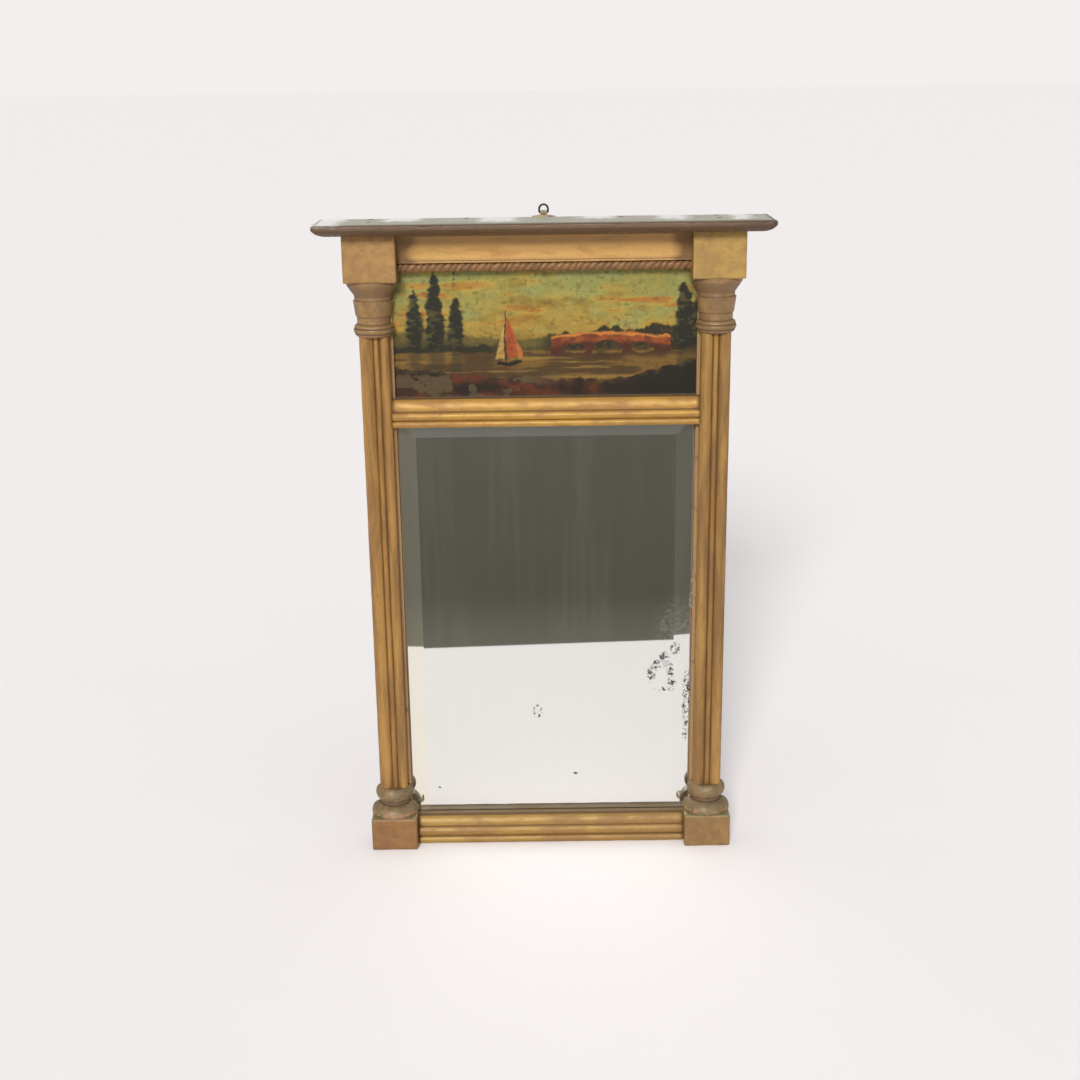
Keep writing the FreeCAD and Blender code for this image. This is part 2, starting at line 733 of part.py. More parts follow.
bore = turn(cylinder("knuckle_bore", bore_radius, size.loop_width), (0, 1, 0), 90)
place(bore, -size.loop_width / 2, -size.knuckle_radius, knuckle_level)
rolled_plate = fuse("hanger_plate_rolled", plate_body, knuckle)
keep(cut("hanger_plate", rolled_plate, bore, screw_holes), "hanger_plate")

# Hanging loop: closed iron wire with a straight bar in the knuckle, two legs and a round top.
wire = size.wire_diameter / 2
leg_x = (size.loop_width - size.wire_diameter) / 2
bar_half = leg_x - size.loop_bend
leg_base = knuckle_level + size.loop_bend
leg_top = leg_base + size.loop_leg
loop_y = -size.knuckle_radius
upright_ring = FreeCAD.Rotation(FreeCAD.Vector(1, 0, 0), 90)


def wire_bend(name, radius, start, sweep, x, z):
    """Bent stretch of the wire in the upright plane: a ring's sector from its start angle, in degrees."""
    item = doc.addObject("Part::Torus", name)
    bind(item, Radius1=radius, Radius2=wire)
    item.Angle3 = sweep
    item.Placement.Rotation = upright_ring.multiply(FreeCAD.Rotation(FreeCAD.Vector(0, 0, 1), start))
    return place(item, x, loop_y, z)


loop_bar = turn(cylinder("loop_bar", wire, bar_half * 2), (0, 1, 0), 90)
place(loop_bar, -bar_half, loop_y, knuckle_level)
loop_pieces = [loop_bar, wire_bend("loop_top", leg_x, 0, 180, 0, leg_top)]
for word, side in SIDES.items():
    leg = cylinder(f"loop_leg_{word}", wire, size.loop_leg)
    bend_start = -90 if side > 0 else 180
    bend = wire_bend(f"loop_bend_{word}", size.loop_bend, bend_start, 90, bar_half * side, leg_base)
    loop_pieces += [place(leg, leg_x * side, loop_y, leg_base), bend]
keep(fuse("hanger_loop", *loop_pieces), "hanger_loop")

# Check every object, then write one file for each node.
doc.recompute()
for item in doc.Objects:
    if "Invalid" in item.State or "Error" in item.State:
        raise RuntimeError(f"{item.Label} did not build: {item.State}")
os.makedirs("parts", exist_ok=True)
for node in nodes:
    if node.Shape.isNull() or not node.Shape.isValid() or not node.Shape.Solids:
        raise RuntimeError(f"{node.Label} has no sound solid")
    node.Shape.exportStep(f"parts/{node.Label}.step")
    print(f"{node.Label}: {len(node.Shape.Solids)} solid(s), {node.Shape.Volume / 1000:.2f} cm3")
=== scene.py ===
import math

import bmesh
import bpy
import numpy as np
from mathutils import Matrix, Vector


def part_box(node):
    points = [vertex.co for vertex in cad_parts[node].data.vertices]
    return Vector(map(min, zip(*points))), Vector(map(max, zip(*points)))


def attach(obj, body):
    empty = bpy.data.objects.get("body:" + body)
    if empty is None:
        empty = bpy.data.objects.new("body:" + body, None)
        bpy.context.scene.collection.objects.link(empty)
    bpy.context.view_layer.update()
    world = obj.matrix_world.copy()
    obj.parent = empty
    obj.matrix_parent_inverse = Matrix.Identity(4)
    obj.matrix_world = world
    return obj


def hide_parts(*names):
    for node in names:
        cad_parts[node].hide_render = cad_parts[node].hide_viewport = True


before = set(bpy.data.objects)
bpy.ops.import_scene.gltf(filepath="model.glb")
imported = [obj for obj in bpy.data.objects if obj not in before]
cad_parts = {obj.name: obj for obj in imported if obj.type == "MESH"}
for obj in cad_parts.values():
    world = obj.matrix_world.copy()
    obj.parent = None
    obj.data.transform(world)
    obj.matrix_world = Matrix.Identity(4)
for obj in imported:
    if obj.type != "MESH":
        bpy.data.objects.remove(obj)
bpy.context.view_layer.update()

# Carcase: two stiles and three rails of old pine, tenoned together at the corners and planed flat at the
# back. Only the narrow front edges beside the glass are gilded, and the outer sides have an ochre wash.


def light_of(seen):
    """Linear light of screen values of 0 to 1, by undoing the screen's curve."""
    return np.where(seen > 0.04045, ((seen + 0.055) / 1.055) ** 2.4, seen / 12.92)


def linear(*screen):
    """Colour of 0 to 255 on a screen as the shader's linear numbers."""
    return (*light_of(np.array(screen) / 255).tolist(), 1.0)


class Finish:
    """A material as it is built up: each call adds one step and returns what that step gives."""

    def __init__(self, name):
        self.material = bpy.data.materials.new(name)
        self.material.use_nodes = True
        self.tree = self.material.node_tree
        self.shader = self.tree.nodes["Principled BSDF"]
        self.place = self.add("TexCoord").outputs["Object"]

    def add(self, kind, values=(), **settings):
        """One node, with its settings, its fixed values and its links."""
        node = self.tree.nodes.new("ShaderNode" + kind)
        for name, value in settings.items():
            setattr(node, name, value)
        self.set(node, dict(values))
        return node

    def set(self, node, values):
        """Values of a node's sockets: a fixed one is written in, and another step's result is linked."""
        for name, value in values.items():
            if isinstance(value, bpy.types.NodeSocket):
                self.tree.links.new(value, node.inputs[name])
            else:
                node.inputs[name].default_value = value

    def wear(self, **values):
        """Values of the shader itself, by its socket names with a low line for each space."""
        self.set(self.shader, {name.replace("_", " "): value for name, value in values.items()})

    def noise(self, scale, detail=5.0, rough=0.55, stretch=None, swirl=0.0):
        """Random clouds, so many to the metre; a stretch squeezes or draws them out along each axis."""
        place = self.place
        if stretch:
            place = self.add("Mapping", {"Vector": place, "Scale": stretch}).outputs["Vector"]
        values = {"Vector": place, "Scale": scale, "Detail": detail, "Roughness": rough}
        return self.add("TexNoise", {**values, "Distortion": swirl}).outputs["Fac"]

    def step(self, value, low, high, bottom=0.0, top=1.0):
        """Smooth step: the bottom value below low, the top value above high, an S-curve in between."""
        values = {"Value": value, "From Min": low, "From Max": high, "To Min": bottom, "To Max": top}
        return self.add("MapRange", values, interpolation_type="SMOOTHSTEP").outputs["Result"]

    def sum(self, how, first, second):
        """Plain arithmetic on two values."""
        node = self.add("Math", operation=how)
        self.set(node, {0: first, 1: second})
        return node.outputs["Value"]

    def stray(self, value, noise, reach):
        """A value moved either way by a noise around 0.5, up to half the reach."""
        return self.sum("ADD", value, self.sum("MULTIPLY", self.sum("SUBTRACT", noise, 0.5), reach))

    def blend(self, share, first, second):
        """One colour passing to another by a share of 0 to 1; each is a step or a screen colour."""
        first, second = (linear(*tone) if isinstance(tone, tuple) else tone for tone in (first, second))
        node = self.add("Mix", data_type="RGBA")
        self.set(node, {0: share, 6: first, 7: second})
        return node.outputs[2]

    def along(self, axis):
        """Distance in metres along one axis of the object's own frame."""
        return self.add("SeparateXYZ", {"Vector": self.place}).outputs[axis]

    def bump(self, height, depth, strength=1.0, over=None):
        """Fine relief from a value of 0 to 1, so deep in metres, laid over another one if given."""
        values = {"Height": height, "Distance": depth, "Strength": strength}
        if over:
            values["Normal"] = over
        return self.add("Bump", values).outputs["Normal"]


def pine(name, grain, pale, dark):
    """Old pine: growth rings in bands that bend and run out along the grain, finer lines between them, a
    few knots, pores and a soft bloom of age."""
    wood = Finish(name)
    drawn = wood.add("Mapping", {"Vector": wood.place, "Scale": grain}).outputs["Vector"]
    across_grain = "X" if grain[2] < 1 else "Z"
    bend = {"Vector": drawn, "Scale": 34.0, "Distortion": 17.0, "Detail": 2.0, "Detail Scale": 0.28}
    rings = wood.add("TexWave", bend, bands_direction=across_grain, wave_profile="SAW").outputs["Fac"]
    lines = wood.noise(240, 6, 0.6, grain, 0.6)
    broad = wood.noise(22, 4, 0.5, grain, 0.4)
    pores = wood.noise(900, 3, 0.5, grain)
    age = wood.noise(6, 3)
    slower = [0.35 + 0.65 * share for share in grain]
    slow = wood.add("Mapping", {"Vector": wood.place, "Scale": slower}).outputs["Vector"]
    knots = wood.add("TexVoronoi", {"Vector": slow, "Scale": 7.0, "Randomness": 1.0}).outputs["Distance"]
    tone = wood.blend(wood.step(lines, 0.34, 0.66, 0.35, 1.0), dark, pale)
    tone = wood.blend(wood.step(rings, 0.45, 1.0, 0.0, 0.6), tone, dark)
    tone = wood.blend(wood.step(broad, 0.3, 0.7, 0.0, 0.3), tone, dark)
    tone = wood.blend(wood.step(knots, 0.1, 0.05, 0.0, 0.85), tone, (66, 40, 22))
    tone = wood.blend(wood.step(pores, 0.62, 0.72, 0.0, 0.5), tone, (70, 46, 28))
    tone = wood.blend(wood.step(age, 0.45, 0.75, 0.0, 0.22), tone, (96, 82, 66))
    wood.wear(Roughness=wood.step(lines, 0.3, 0.7, 0.82, 0.66))
    raised = wood.bump(rings, 0.0003, 0.4, wood.bump(lines, 0.0004, 0.5))
    wood.wear(Normal=wood.bump(pores, 0.0002, 0.5, raised))
    return wood, tone


sight_front, side_face = -0.0165, 0.2298
for name in ("stile_left", "stile_right", "top_rail", "mid_rail", "bottom_rail"):
    upright = name.startswith("stile")
    ledge_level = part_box(name)[1][2]
    grain = (1, 1, 0.05) if upright else (0.05, 1, 1)
    wood, wood_tone = pine(f"{name}_wood", grain, (168, 126, 80), (122, 84, 48))
    rubbing = wood.noise(90, 6, 0.6)
    streaks = wood.noise(60, 5, 0.6, (1, 1, 0.08) if upright else (0.08, 1, 1))
    sight_gold = wood.blend(wood.step(streaks, 0.36, 0.66), (150, 118, 76), (132, 98, 58))
    sight_gold = wood.blend(wood.step(rubbing, 0.58, 0.70, 0.0, 0.7), sight_gold, (96, 66, 38))
    if not upright:
        # The top face of each rail, along the glass, is given a darker tone.
        ledge = wood.step(wood.along("Z"), ledge_level - 0.0008, ledge_level - 0.0002)
        darker_ledge_tone = wood.blend(rubbing, (126, 105, 70), (99, 80, 53))
        sight_gold = wood.blend(ledge, sight_gold, darker_ledge_tone)
    front_edge = wood.step(wood.along("Y"), sight_front + 0.001, sight_front)
    from_middle = wood.sum("ABSOLUTE", wood.along("X"), 0.0)
    outer_side = wood.step(from_middle, side_face - 0.0013, side_face)
    washed = wood.step(rubbing, 0.66, 0.50)
    washed_tone = wood.blend(washed, wood_tone, (136, 100, 60))
    wood_tone = wood.blend(outer_side, wood_tone, washed_tone)
    wood.wear(Base_Color=wood.blend(front_edge, wood_tone, sight_gold))
    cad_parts[name].material_slots[0].material = wood.material

# Backboards and glue blocks: thin unplaned pine boards with their grain across, nailed into the rebate, and
# small blocks rubbed on with glue that hold the two glasses against their lips.

for name, pale, dark in (
    ("panel_backboard", (158, 118, 76), (108, 74, 44)),
    ("mirror_backboard_upper", (138, 100, 62), (88, 58, 34)),
    ("mirror_backboard_lower", (148, 112, 74), (98, 68, 42)),
    ("panel_blocks", (172, 132, 86), (126, 90, 54)),
    ("mirror_blocks", (172, 132, 86), (126, 90, 54)),
):
    wood, board_tone = pine(f"{name}_wood", (0.045, 1, 1), pale, dark)
    dust = wood.noise(30, 5)
    saw_marks = wood.noise(260, 3, 0.5, (1, 1, 0.06))
    board_tone = wood.blend(wood.step(saw_marks, 0.56, 0.72, 0.0, 0.22), board_tone, (74, 52, 34))
    board_tone = wood.blend(wood.step(dust, 0.5, 0.8, 0.0, 0.2), board_tone, (128, 116, 100))
    if not name.endswith("blocks"):
        low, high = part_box(name)
        grimy, ragged = wood.noise(70, 4), 0.0016
        for axis, side in (("X", 0), ("Z", 2)):
            inset = wood.sum("ADD", wood.along(axis), wood.sum("MULTIPLY", grimy, ragged))
            for end, turn in ((low[side] + ragged, -1), (high[side], 1)):
                edge = wood.step(inset, end - 0.0022 * turn, end - 0.0008 * turn, 0.0, 0.8)
                board_tone = wood.blend(edge, board_tone, (46, 31, 20))
    wood.wear(Base_Color=board_tone)
    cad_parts[name].material_slots[0].material = wood.material

# Mirror plate: silvered plate glass with a wide shallow bevel. Its silvering is lost in ragged patches near
# the right edge and in a few small spots, and a thin film of dust dulls it. The bevels are painted lighter
# than the flat and the left one warmer: a painted sheen.

plate = Finish("silvering")
streaks = plate.noise(40, 5, 0.6, (1, 1, 0.05))
film = plate.noise(14, 4)
crumbs = plate.noise(190, 5, 0.65, swirl=0.6)
flecks = plate.noise(420, 3)


def ovals_out(x, z, wide, tall):
    """Distance from the middle of an oval, in its half widths and half heights, so 1 is its outline."""
    away = plate.add("VectorMath", {0: plate.place, 1: (x, 0, z)}, operation="SUBTRACT").outputs["Vector"]
    shares = {0: away, 1: (1 / wide, 0, 1 / tall)}
    away = plate.add("VectorMath", shares, operation="MULTIPLY").outputs["Vector"]
    return plate.add("VectorMath", {0: away}, operation="LENGTH").outputs["Value"]


def loss(x, z, wide, tall, hollow=False):
    """Share of silver lost in an oval, ragged by the crumbs; a hollow one loses only its outline."""
    reach = ovals_out(x, z, wide, tall)
    if hollow:
        rim = plate.sum("ABSOLUTE", plate.sum("SUBTRACT", reach, 0.85), 0.0)
        return plate.sum("MULTIPLY", plate.step(rim, 0.40, 0.10), plate.step(crumbs, 0.47, 0.57))
    return plate.sum("MULTIPLY", plate.step(reach, 1.05, 0.6), plate.step(crumbs, 0.46, 0.57))


lost = plate.step(flecks, 0.80, 0.84, 0.0, 0.5)
for patch in (
    (0.137, 0.239, 0.007, 0.014), (0.145, 0.252, 0.007, 0.010), (0.154, 0.260, 0.009, 0.013),
    (0.1625, 0.243, 0.006, 0.014), (0.164, 0.223, 0.008, 0.011), (0.150, 0.217, 0.013, 0.004),
    (0.169, 0.275, 0.008, 0.011), (0.1845, 0.198, 0.0064, 0.054), (0.1832, 0.150, 0.004, 0.013),
    (0.1890, 0.226, 0.0055, 0.022), (0.1912, 0.367, 0.0032, 0.008), (0.1900, 0.343, 0.0042, 0.012),
    (-0.0155, 0.187, 0.0062, 0.0085, True), (-0.0130, 0.184, 0.0040, 0.0045),
    (0.0354, 0.094, 0.0045, 0.0022), (-0.1515, 0.075, 0.0022, 0.0022),
):
    lost = plate.sum("MAXIMUM", lost, loss(*patch))
tarnish = plate.step(ovals_out(0.167, 0.306, 1 / 32, 1 / 23), 1.1, 0.4)
tarnish = plate.sum("MULTIPLY", tarnish, plate.step(crumbs, 0.44, 0.62, 0.0, 0.07))
bevel_x, bevel_z, crease = 0.1660, 0.5674, 0.0012
across = plate.sum("ABSOLUTE", plate.along("X"), 0.0)
bevel = plate.sum("MAXIMUM", plate.step(across, bevel_x, bevel_x + crease),
                  plate.step(plate.along("Z"), bevel_z, bevel_z + crease))
dust = plate.sum("ADD", plate.step(streaks, 0.42, 0.72, 0.0, 0.016),
                 plate.step(film, 0.4, 0.8, 0.001, 0.004))
# The bevels lose more shine to the pale base colour, the left one more still and warmer: painted sheen, on
# top of the dust.
dust = plate.sum("ADD", dust, plate.sum("MULTIPLY", bevel, 0.022))
warm_bevel_sheen = plate.step(plate.along("X"), -bevel_x, -bevel_x - crease)
dust = plate.sum("ADD", dust, plate.sum("MULTIPLY", warm_bevel_sheen, 0.026))
silver = plate.blend(warm_bevel_sheen, (231, 231, 228), (234, 230, 217))
gone = plate.sum("MAXIMUM", lost, tarnish)
silver_share = plate.sum("SUBTRACT", plate.sum("SUBTRACT", 1.0, dust), gone)
plate.wear(Base_Color=plate.blend(gone, silver, (62, 50, 48)), Metallic=silver_share,
           Roughness=plate.step(lost, 0.0, 1.0, 0.02, 0.35))
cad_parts["mirror_plate"].material_slots[0].material = plate.material

# Painted panel: a thin sheet of glass with a river landscape painted on its back, so the paint is seen
# through the glass. The paint has thinned in the sky and is rubbed off to grey in the near ground.


def drift(across, up, cells, seed):
    """Soft random field of 0 to 1: random lattice values joined by smooth steps, in four finer layers."""
    dice = np.random.default_rng(seed)
    total = np.zeros_like(across)
    for layer in range(4):
        wide, tall = (int(count * 2 ** layer) + 2 for count in cells)
        lattice = dice.random((tall + 1, wide + 1))
        x = np.clip(across, 0, 1) * (wide - 1)
        y = np.clip(up, 0, 1) * (tall - 1)
        column, row = x.astype(int), y.astype(int)
        x, y = x - column, y - row
        x, y = x * x * (3 - 2 * x), y * y * (3 - 2 * y)
        low = lattice[row, column] * (1 - x) + lattice[row, column + 1] * x
        high = lattice[row + 1, column] * (1 - x) + lattice[row + 1, column + 1] * x
        total += (low * (1 - y) + high * y) * 0.5 ** (layer + 1)
    return total / 0.9375


def soft(value, low, high):
    """Smooth step from 0 at low to 1 at high."""
    share = np.clip((value - low) / (high - low), 0, 1)
    return share * share * (3 - 2 * share)


def river_landscape(across, up):
    """Colour of each point of the picture, across and up from 0 to 1: sky, hills, water, an arched bridge,
    poplars, a sail and a near bank, each laid over the ones behind by a cover that its outline gives."""
    waver = drift(across, up, (26, 12), 11) - 0.5
    fine = drift(across, up, (70, 30), 12) - 0.5
    haze = drift(across, up, (7, 5), 13)
    streak = drift(across, up, (6, 22), 14)
    x = across + 0.012 * waver + 0.006 * fine
    y = up + 0.035 * waver + 0.016 * fine
    picture = np.zeros((*across.shape, 3))

    def lay(cover, colour):
        """Brushes one colour over the picture where the cover is above 0."""
        picture[:] = picture + (np.asarray(colour, float) - picture) * np.clip(cover, 0, 1)[..., None]

    lay(np.ones_like(across), (176, 148, 66))
    lay(soft(y, 0.55, 1.0), (156, 152, 78))
    lay(soft(haze + 0.5 * y, 0.72, 1.05) * 0.75, (150, 158, 104))
    lay(soft(streak, 0.5, 0.68) * soft(y, 0.42, 0.58) * 0.7, (196, 168, 78))
    lay(soft(streak, 0.6, 0.74) * soft(y, 0.45, 0.6) * soft(y, 0.97, 0.8) * 0.75, (176, 108, 34))
    lay(soft(drift(across, up, (9, 14), 15), 0.56, 0.72) * 0.55, (146, 118, 44))
    hills = 0.455 + 0.055 * np.sin(6.0 * x + 0.6) + 0.03 * np.sin(15.0 * x)
    lay(soft(y, hills + 0.02, hills - 0.01), (112, 100, 48))
    lay(soft(y, hills - 0.04, hills - 0.09) * 0.8, (74, 70, 34))
    grove = 0.44 + 0.15 * drift(x, 0 * y, (20, 2), 24) + 0.05 * np.sin(9 * x)
    lay(soft(y, grove + 0.02, grove) * soft(x, 0.46, 0.54), (46, 42, 20))
    lay(soft(y, grove, grove - 0.03) * soft(x, 0.50, 0.58) * soft(fine, 0.02, 0.12) * 0.7, (92, 70, 26))
    water = soft(y, 0.385, 0.37)
    lay(water, (138, 106, 44))
    lay(water * soft(streak, 0.46, 0.6) * 0.85, (86, 62, 26))
    lay(water * soft(drift(across, up, (4, 40), 16), 0.58, 0.66) * 0.7, (176, 146, 78))
    shore = 0.385 + 0.05 * drift(x, 0 * y, (36, 2), 17)
    lay(soft(y, shore + 0.012, shore) * soft(y, 0.355, 0.372) * soft(x, 0.40, 0.30), (44, 42, 20))
    lay(soft(y, shore + 0.03, shore + 0.012) * soft(y, 0.355, 0.372) * soft(x, 0.86, 0.92), (52, 42, 18))

    deck = 0.50 - 0.9 * (x - 0.70) ** 2
    stone = soft(x, 0.515, 0.525) * soft(x, 0.905, 0.895)
    stone = stone * soft(y, deck + 0.012, deck) * soft(y, 0.345, 0.352)
    for middle, reach, crown in ((0.595, 0.036, 0.075), (0.70, 0.050, 0.098), (0.81, 0.038, 0.078)):
        rise = np.sqrt(np.clip(1 - ((x - middle) / reach) ** 2, 0, 1)) * crown
        stone = stone * (1 - soft(y, 0.352 + rise + 0.006, 0.352 + rise - 0.006)
                         * soft(np.abs(x - middle), reach, reach * 0.9))
    lay(stone, (132, 58, 22))
    lay(stone * soft(drift(across, up, (40, 30), 18), 0.45, 0.62), (168, 82, 32))
    lay(stone * soft(y, deck - 0.05, deck - 0.085) * 0.75, (70, 28, 12))
    lay(stone * soft(y, deck - 0.018, deck - 0.006), (214, 138, 62))
    shade = soft(x, 0.52, 0.54) * soft(x, 0.90, 0.88) * soft(y, 0.30, 0.345) * soft(y, 0.354, 0.348)
    lay(shade * 0.8, (74, 44, 20))

    leaves = drift(across, up, (48, 40), 19)
    for foot, place, tall, wide in (
        (0.36, 0.085, 0.46, 0.030), (0.36, 0.150, 0.56, 0.034), (0.36, 0.215, 0.40, 0.028),
        (0.37, 0.945, 0.50, 0.034), (0.37, 0.985, 0.38, 0.030),
    ):
        climb = (y - foot) / tall
        spindle = wide * np.sqrt(np.clip(4 * climb * (1.02 - climb), 0, None)) * (1.1 - 0.5 * climb)
        cover = soft(np.abs(x - place) + 0.022 * (leaves - 0.5), spindle + 0.004, spindle - 0.008)
        cover = cover * soft(climb, -0.02, 0.02)
        lay(cover, (32, 32, 18))
        lit = cover * soft(leaves, 0.52, 0.62) * soft(x - place, 0.02, -0.02)
        lay(lit * 0.8, (74, 92, 56))
        lay(cover * soft(leaves, 0.60, 0.70) * 0.6, (104, 74, 28))
        lay(soft(np.abs(x - place), wide, wide * 0.3) * soft(y, 0.10, 0.30) * water * 0.5, (60, 54, 28))

    sheer = (x - 0.385) ** 2
    hull = soft(np.abs(x - 0.385), 0.040, 0.036) * soft(y, 0.296 + 6 * sheer, 0.284 + 6 * sheer)
    hull = np.where(y > 0.262 + 9 * sheer, hull, 0)
    lay(hull, (34, 22, 14))
    luff = (x - 0.376) / 0.052
    leech = 0.645 - 0.30 * np.clip(luff, 0, 1)
    sail = soft(luff, 0.0, 0.06) * soft(luff, 1.0, 0.92) * soft(y, 0.31, 0.318)
    sail = sail * soft(y, leech + 0.01, leech - 0.01)
    lay(sail, (182, 82, 34))
    lay(sail * soft(luff, 0.35, 0.75), (216, 132, 62))
    jib = (0.371 - x) / 0.030
    stay = 0.57 - 0.24 * np.clip(jib, 0, 1)
    fore = soft(jib, 0.0, 0.08) * soft(jib, 1.0, 0.9) * soft(y, 0.312, 0.32)
    fore = fore * soft(y, stay + 0.01, stay - 0.01)
    lay(fore, (204, 170, 112))
    mast = soft(np.abs(x - 0.3735), 0.0024, 0.0012) * soft(y, 0.285, 0.295) * soft(y, 0.672, 0.662)
    lay(mast, (48, 30, 18))
    lay(soft(np.abs(x - 0.388), 0.036, 0.012) * soft(y, 0.19, 0.262) * soft(y, 0.268, 0.262) * 0.55,
        (112, 66, 32))

    bank = 0.175 + 0.05 * np.sin(4.2 * x + 2.0) + 0.09 * soft(x, 0.7, 1.0)
    bank = bank + 0.05 * drift(x, 0 * y, (24, 2), 20)
    ground = soft(y, bank + 0.012, bank - 0.008)
    soil = drift(across, up, (16, 10), 21)
    lay(ground, (74, 38, 16))
    lay(ground * soft(soil, 0.48, 0.62), (112, 50, 18))
    lay(ground * soft(soil, 0.46, 0.34) * 0.9, (38, 22, 12))
    lay(ground * soft(x, 0.62, 0.82), (30, 24, 14))
    lay(ground * soft(y, bank - 0.03, bank - 0.005) * soft(leaves, 0.45, 0.6) * 0.8, (88, 78, 30))

    worn = drift(across, up, (18, 12), 22) + 0.24 * soft(across, 0.34, 0.02) * soft(up, 0.24, 0.08)
    worn = soft(worn, 0.63, 0.67) * soft(up, 0.27, 0.17) * soft(across, 0.62, 0.40)
    lay(worn * 0.9, (108, 94, 76))
    lay(soft(drift(across, up, (90, 50), 23), 0.62, 0.74) * 0.28, (66, 44, 20))
    # The two upper corners are darkened: painted shade under the capitals beside them.
    corner = soft(np.abs(across - 0.5) * 2, 0.86, 1.0)
    lay(corner * soft(up, 0.55, 1.0) * 0.55, (74, 66, 36))
    return np.clip(picture * (0.94 + 0.18 * fine[..., None]), 4, 235)


def put(name, data):
    """A new object in the scene."""
    made = bpy.data.objects.new(name, data)
    bpy.context.collection.objects.link(made)
    return made


panel_low, panel_high = (np.array(corner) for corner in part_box("painted_panel"))
across, up = np.meshgrid(np.linspace(0, 1, 430), np.linspace(0, 1, 186))
sheet = np.stack([panel_low[0] + (panel_high[0] - panel_low[0]) * across,
                  np.full_like(across, panel_low[1]),
                  panel_low[2] + (panel_high[2] - panel_low[2]) * up], axis=-1)
numbers = np.arange(across.size).reshape(across.shape)
cells = np.stack([numbers[:-1, :-1], numbers[:-1, 1:], numbers[1:, 1:], numbers[1:, :-1]], axis=-1)
behind = sheet[[0, 0, -1, -1], [0, -1, -1, 0]]
behind[:, 1] = panel_high[1]
first = across.size
rims = [
    [*numbers[0][::-1].tolist(), first, first + 1],
    [*numbers[:, -1][::-1].tolist(), first + 1, first + 2],
    [*numbers[-1].tolist(), first + 2, first + 3],
    [*numbers[:, 0].tolist(), first + 3, first],
    [first + 3, first + 2, first + 1, first],
]
panel_mesh = bpy.data.meshes.new("painted_glass")
panel_mesh.from_pydata(np.concatenate([sheet.reshape(-1, 3), behind]), [],
                       cells.reshape(-1, 4).tolist() + rims)
painting = light_of(river_landscape(across, up) / 255)
paint = np.full((first + 4, 4), 0.05)
browned = soft(up, 0.62, 0.32).reshape(-1, 1) * (0.24, 0.29, 0.45)
paint[:first, :3] = painting.reshape(-1, 3) * (0.78, 0.74, 0.55) * (1 - browned)
paint[:, 3] = 1
panel_mesh.attributes.new("paint", "FLOAT_COLOR", "POINT").data.foreach_set("color", paint.ravel())
painted_glass = put("painted_glass", panel_mesh)
glass_paint = Finish("glass_paint")
laid = glass_paint.add("Attribute", attribute_name="paint").outputs["Color"]
grit = glass_paint.noise(700, 4, 0.6)
gritty = glass_paint.step(grit, 0.45, 0.75, 0.0, 0.25)
glass_paint.wear(Base_Color=glass_paint.blend(gritty, laid, (60, 44, 24)),
                 Roughness=glass_paint.step(grit, 0.3, 0.7, 0.45, 0.6),
                 Coat_Weight=1.0, Coat_Roughness=0.04, Coat_IOR=1.5, Specular_IOR_Level=0.3)
panel_mesh.materials.append(glass_paint.material)
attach(painted_glass, "frame")
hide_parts("painted_panel")

# Reeded mouldings: lengths of pine worked to three reeds, coated in gesso and gilded. One covers the middle
# rail between the columns and one the bottom rail between the plinths, and their ends are eased. Painted
# shade darkens their ends beside the columns and plinths.


def run_of(points, count):
    """Closed run of evenly spaced points: straight to each corner, or on the arc through a third point."""
    share = np.linspace(0, 1, 80)[1:, None]
    pieces = []
    for before, point in zip(points[-1:] + points[:-1], points):
        start, end = np.array(before[:2]), np.array(point[:2])
        if len(point) == 2:
            pieces.append(start + (end - start) * share)
            continue
        through = np.array(point[2:])
        chords = np.array([through - start, end - start])
        centre = start + np.linalg.solve(2 * chords, (chords ** 2).sum(axis=1))
        angles = [math.atan2(*(p - centre)[::-1]) for p in (start, through, end)]
        sweep = (angles[2] - angles[0]) % math.tau
        if (angles[1] - angles[0]) % math.tau > sweep:
            sweep -= math.tau
        turned = angles[0] + sweep * share
        pieces.append(centre + np.linalg.norm(start - centre) * np.hstack([np.cos(turned), np.sin(turned)]))
    dense = np.concatenate(pieces)
    closed = np.concatenate([dense, dense[:1]])
    gone = np.concatenate([[0], np.cumsum(np.linalg.norm(np.diff(closed, axis=0), axis=1))])
    even = np.linspace(0, gone[-1], count, endpoint=False)
    return np.stack([np.interp(even, gone, closed[:, side]) for side in (0, 1)], axis=1)


def soften(run, spread):
    """Closed run averaged along itself by a bell curve of that spread, as gesso rounds each edge."""
    length = np.linalg.norm(run - np.roll(run, 1, axis=0), axis=1).sum()
    waves = np.fft.fftfreq(len(run), 1 / len(run))[:, None] / length
    return np.fft.ifft(np.fft.fft(run, axis=0) * np.exp(-2 * (np.pi * waves * spread) ** 2), axis=0).real


def outward(run):
    """Unit normals out of a closed run: the tangent turned a quarter, by the sign of its area."""
    tangent = np.roll(run, -1, axis=0) - np.roll(run, 1, axis=0)
    area = (run[:, 0] * np.roll(run[:, 1], -1) - run[:, 1] * np.roll(run[:, 0], -1)).sum()
    normal = np.stack([tangent[:, 1], -tangent[:, 0]], axis=1) * np.sign(area)
    return normal / np.linalg.norm(normal, axis=1, keepdims=True)


def relief_of(run, wide, depth):
    """How far each point stands proud of the run averaged over a width: -1 in hollows to 1 on ridges."""
    return np.clip(((run - soften(run, wide)) * outward(run)).sum(axis=1) / depth, -1, 1)


def ripple(first, second, seed):
    """Hand-worked unevenness of about -1 to 1: eight slow waves that cross at random slants."""
    dice = np.random.default_rng(seed)
    total = 0
    for _ in range(8):
        slant, phase = dice.normal(0, 1, 2), dice.random() * math.tau
        total = total + np.sin(math.tau * (slant[0] * first + slant[1] * second) + phase)
    return total / 4


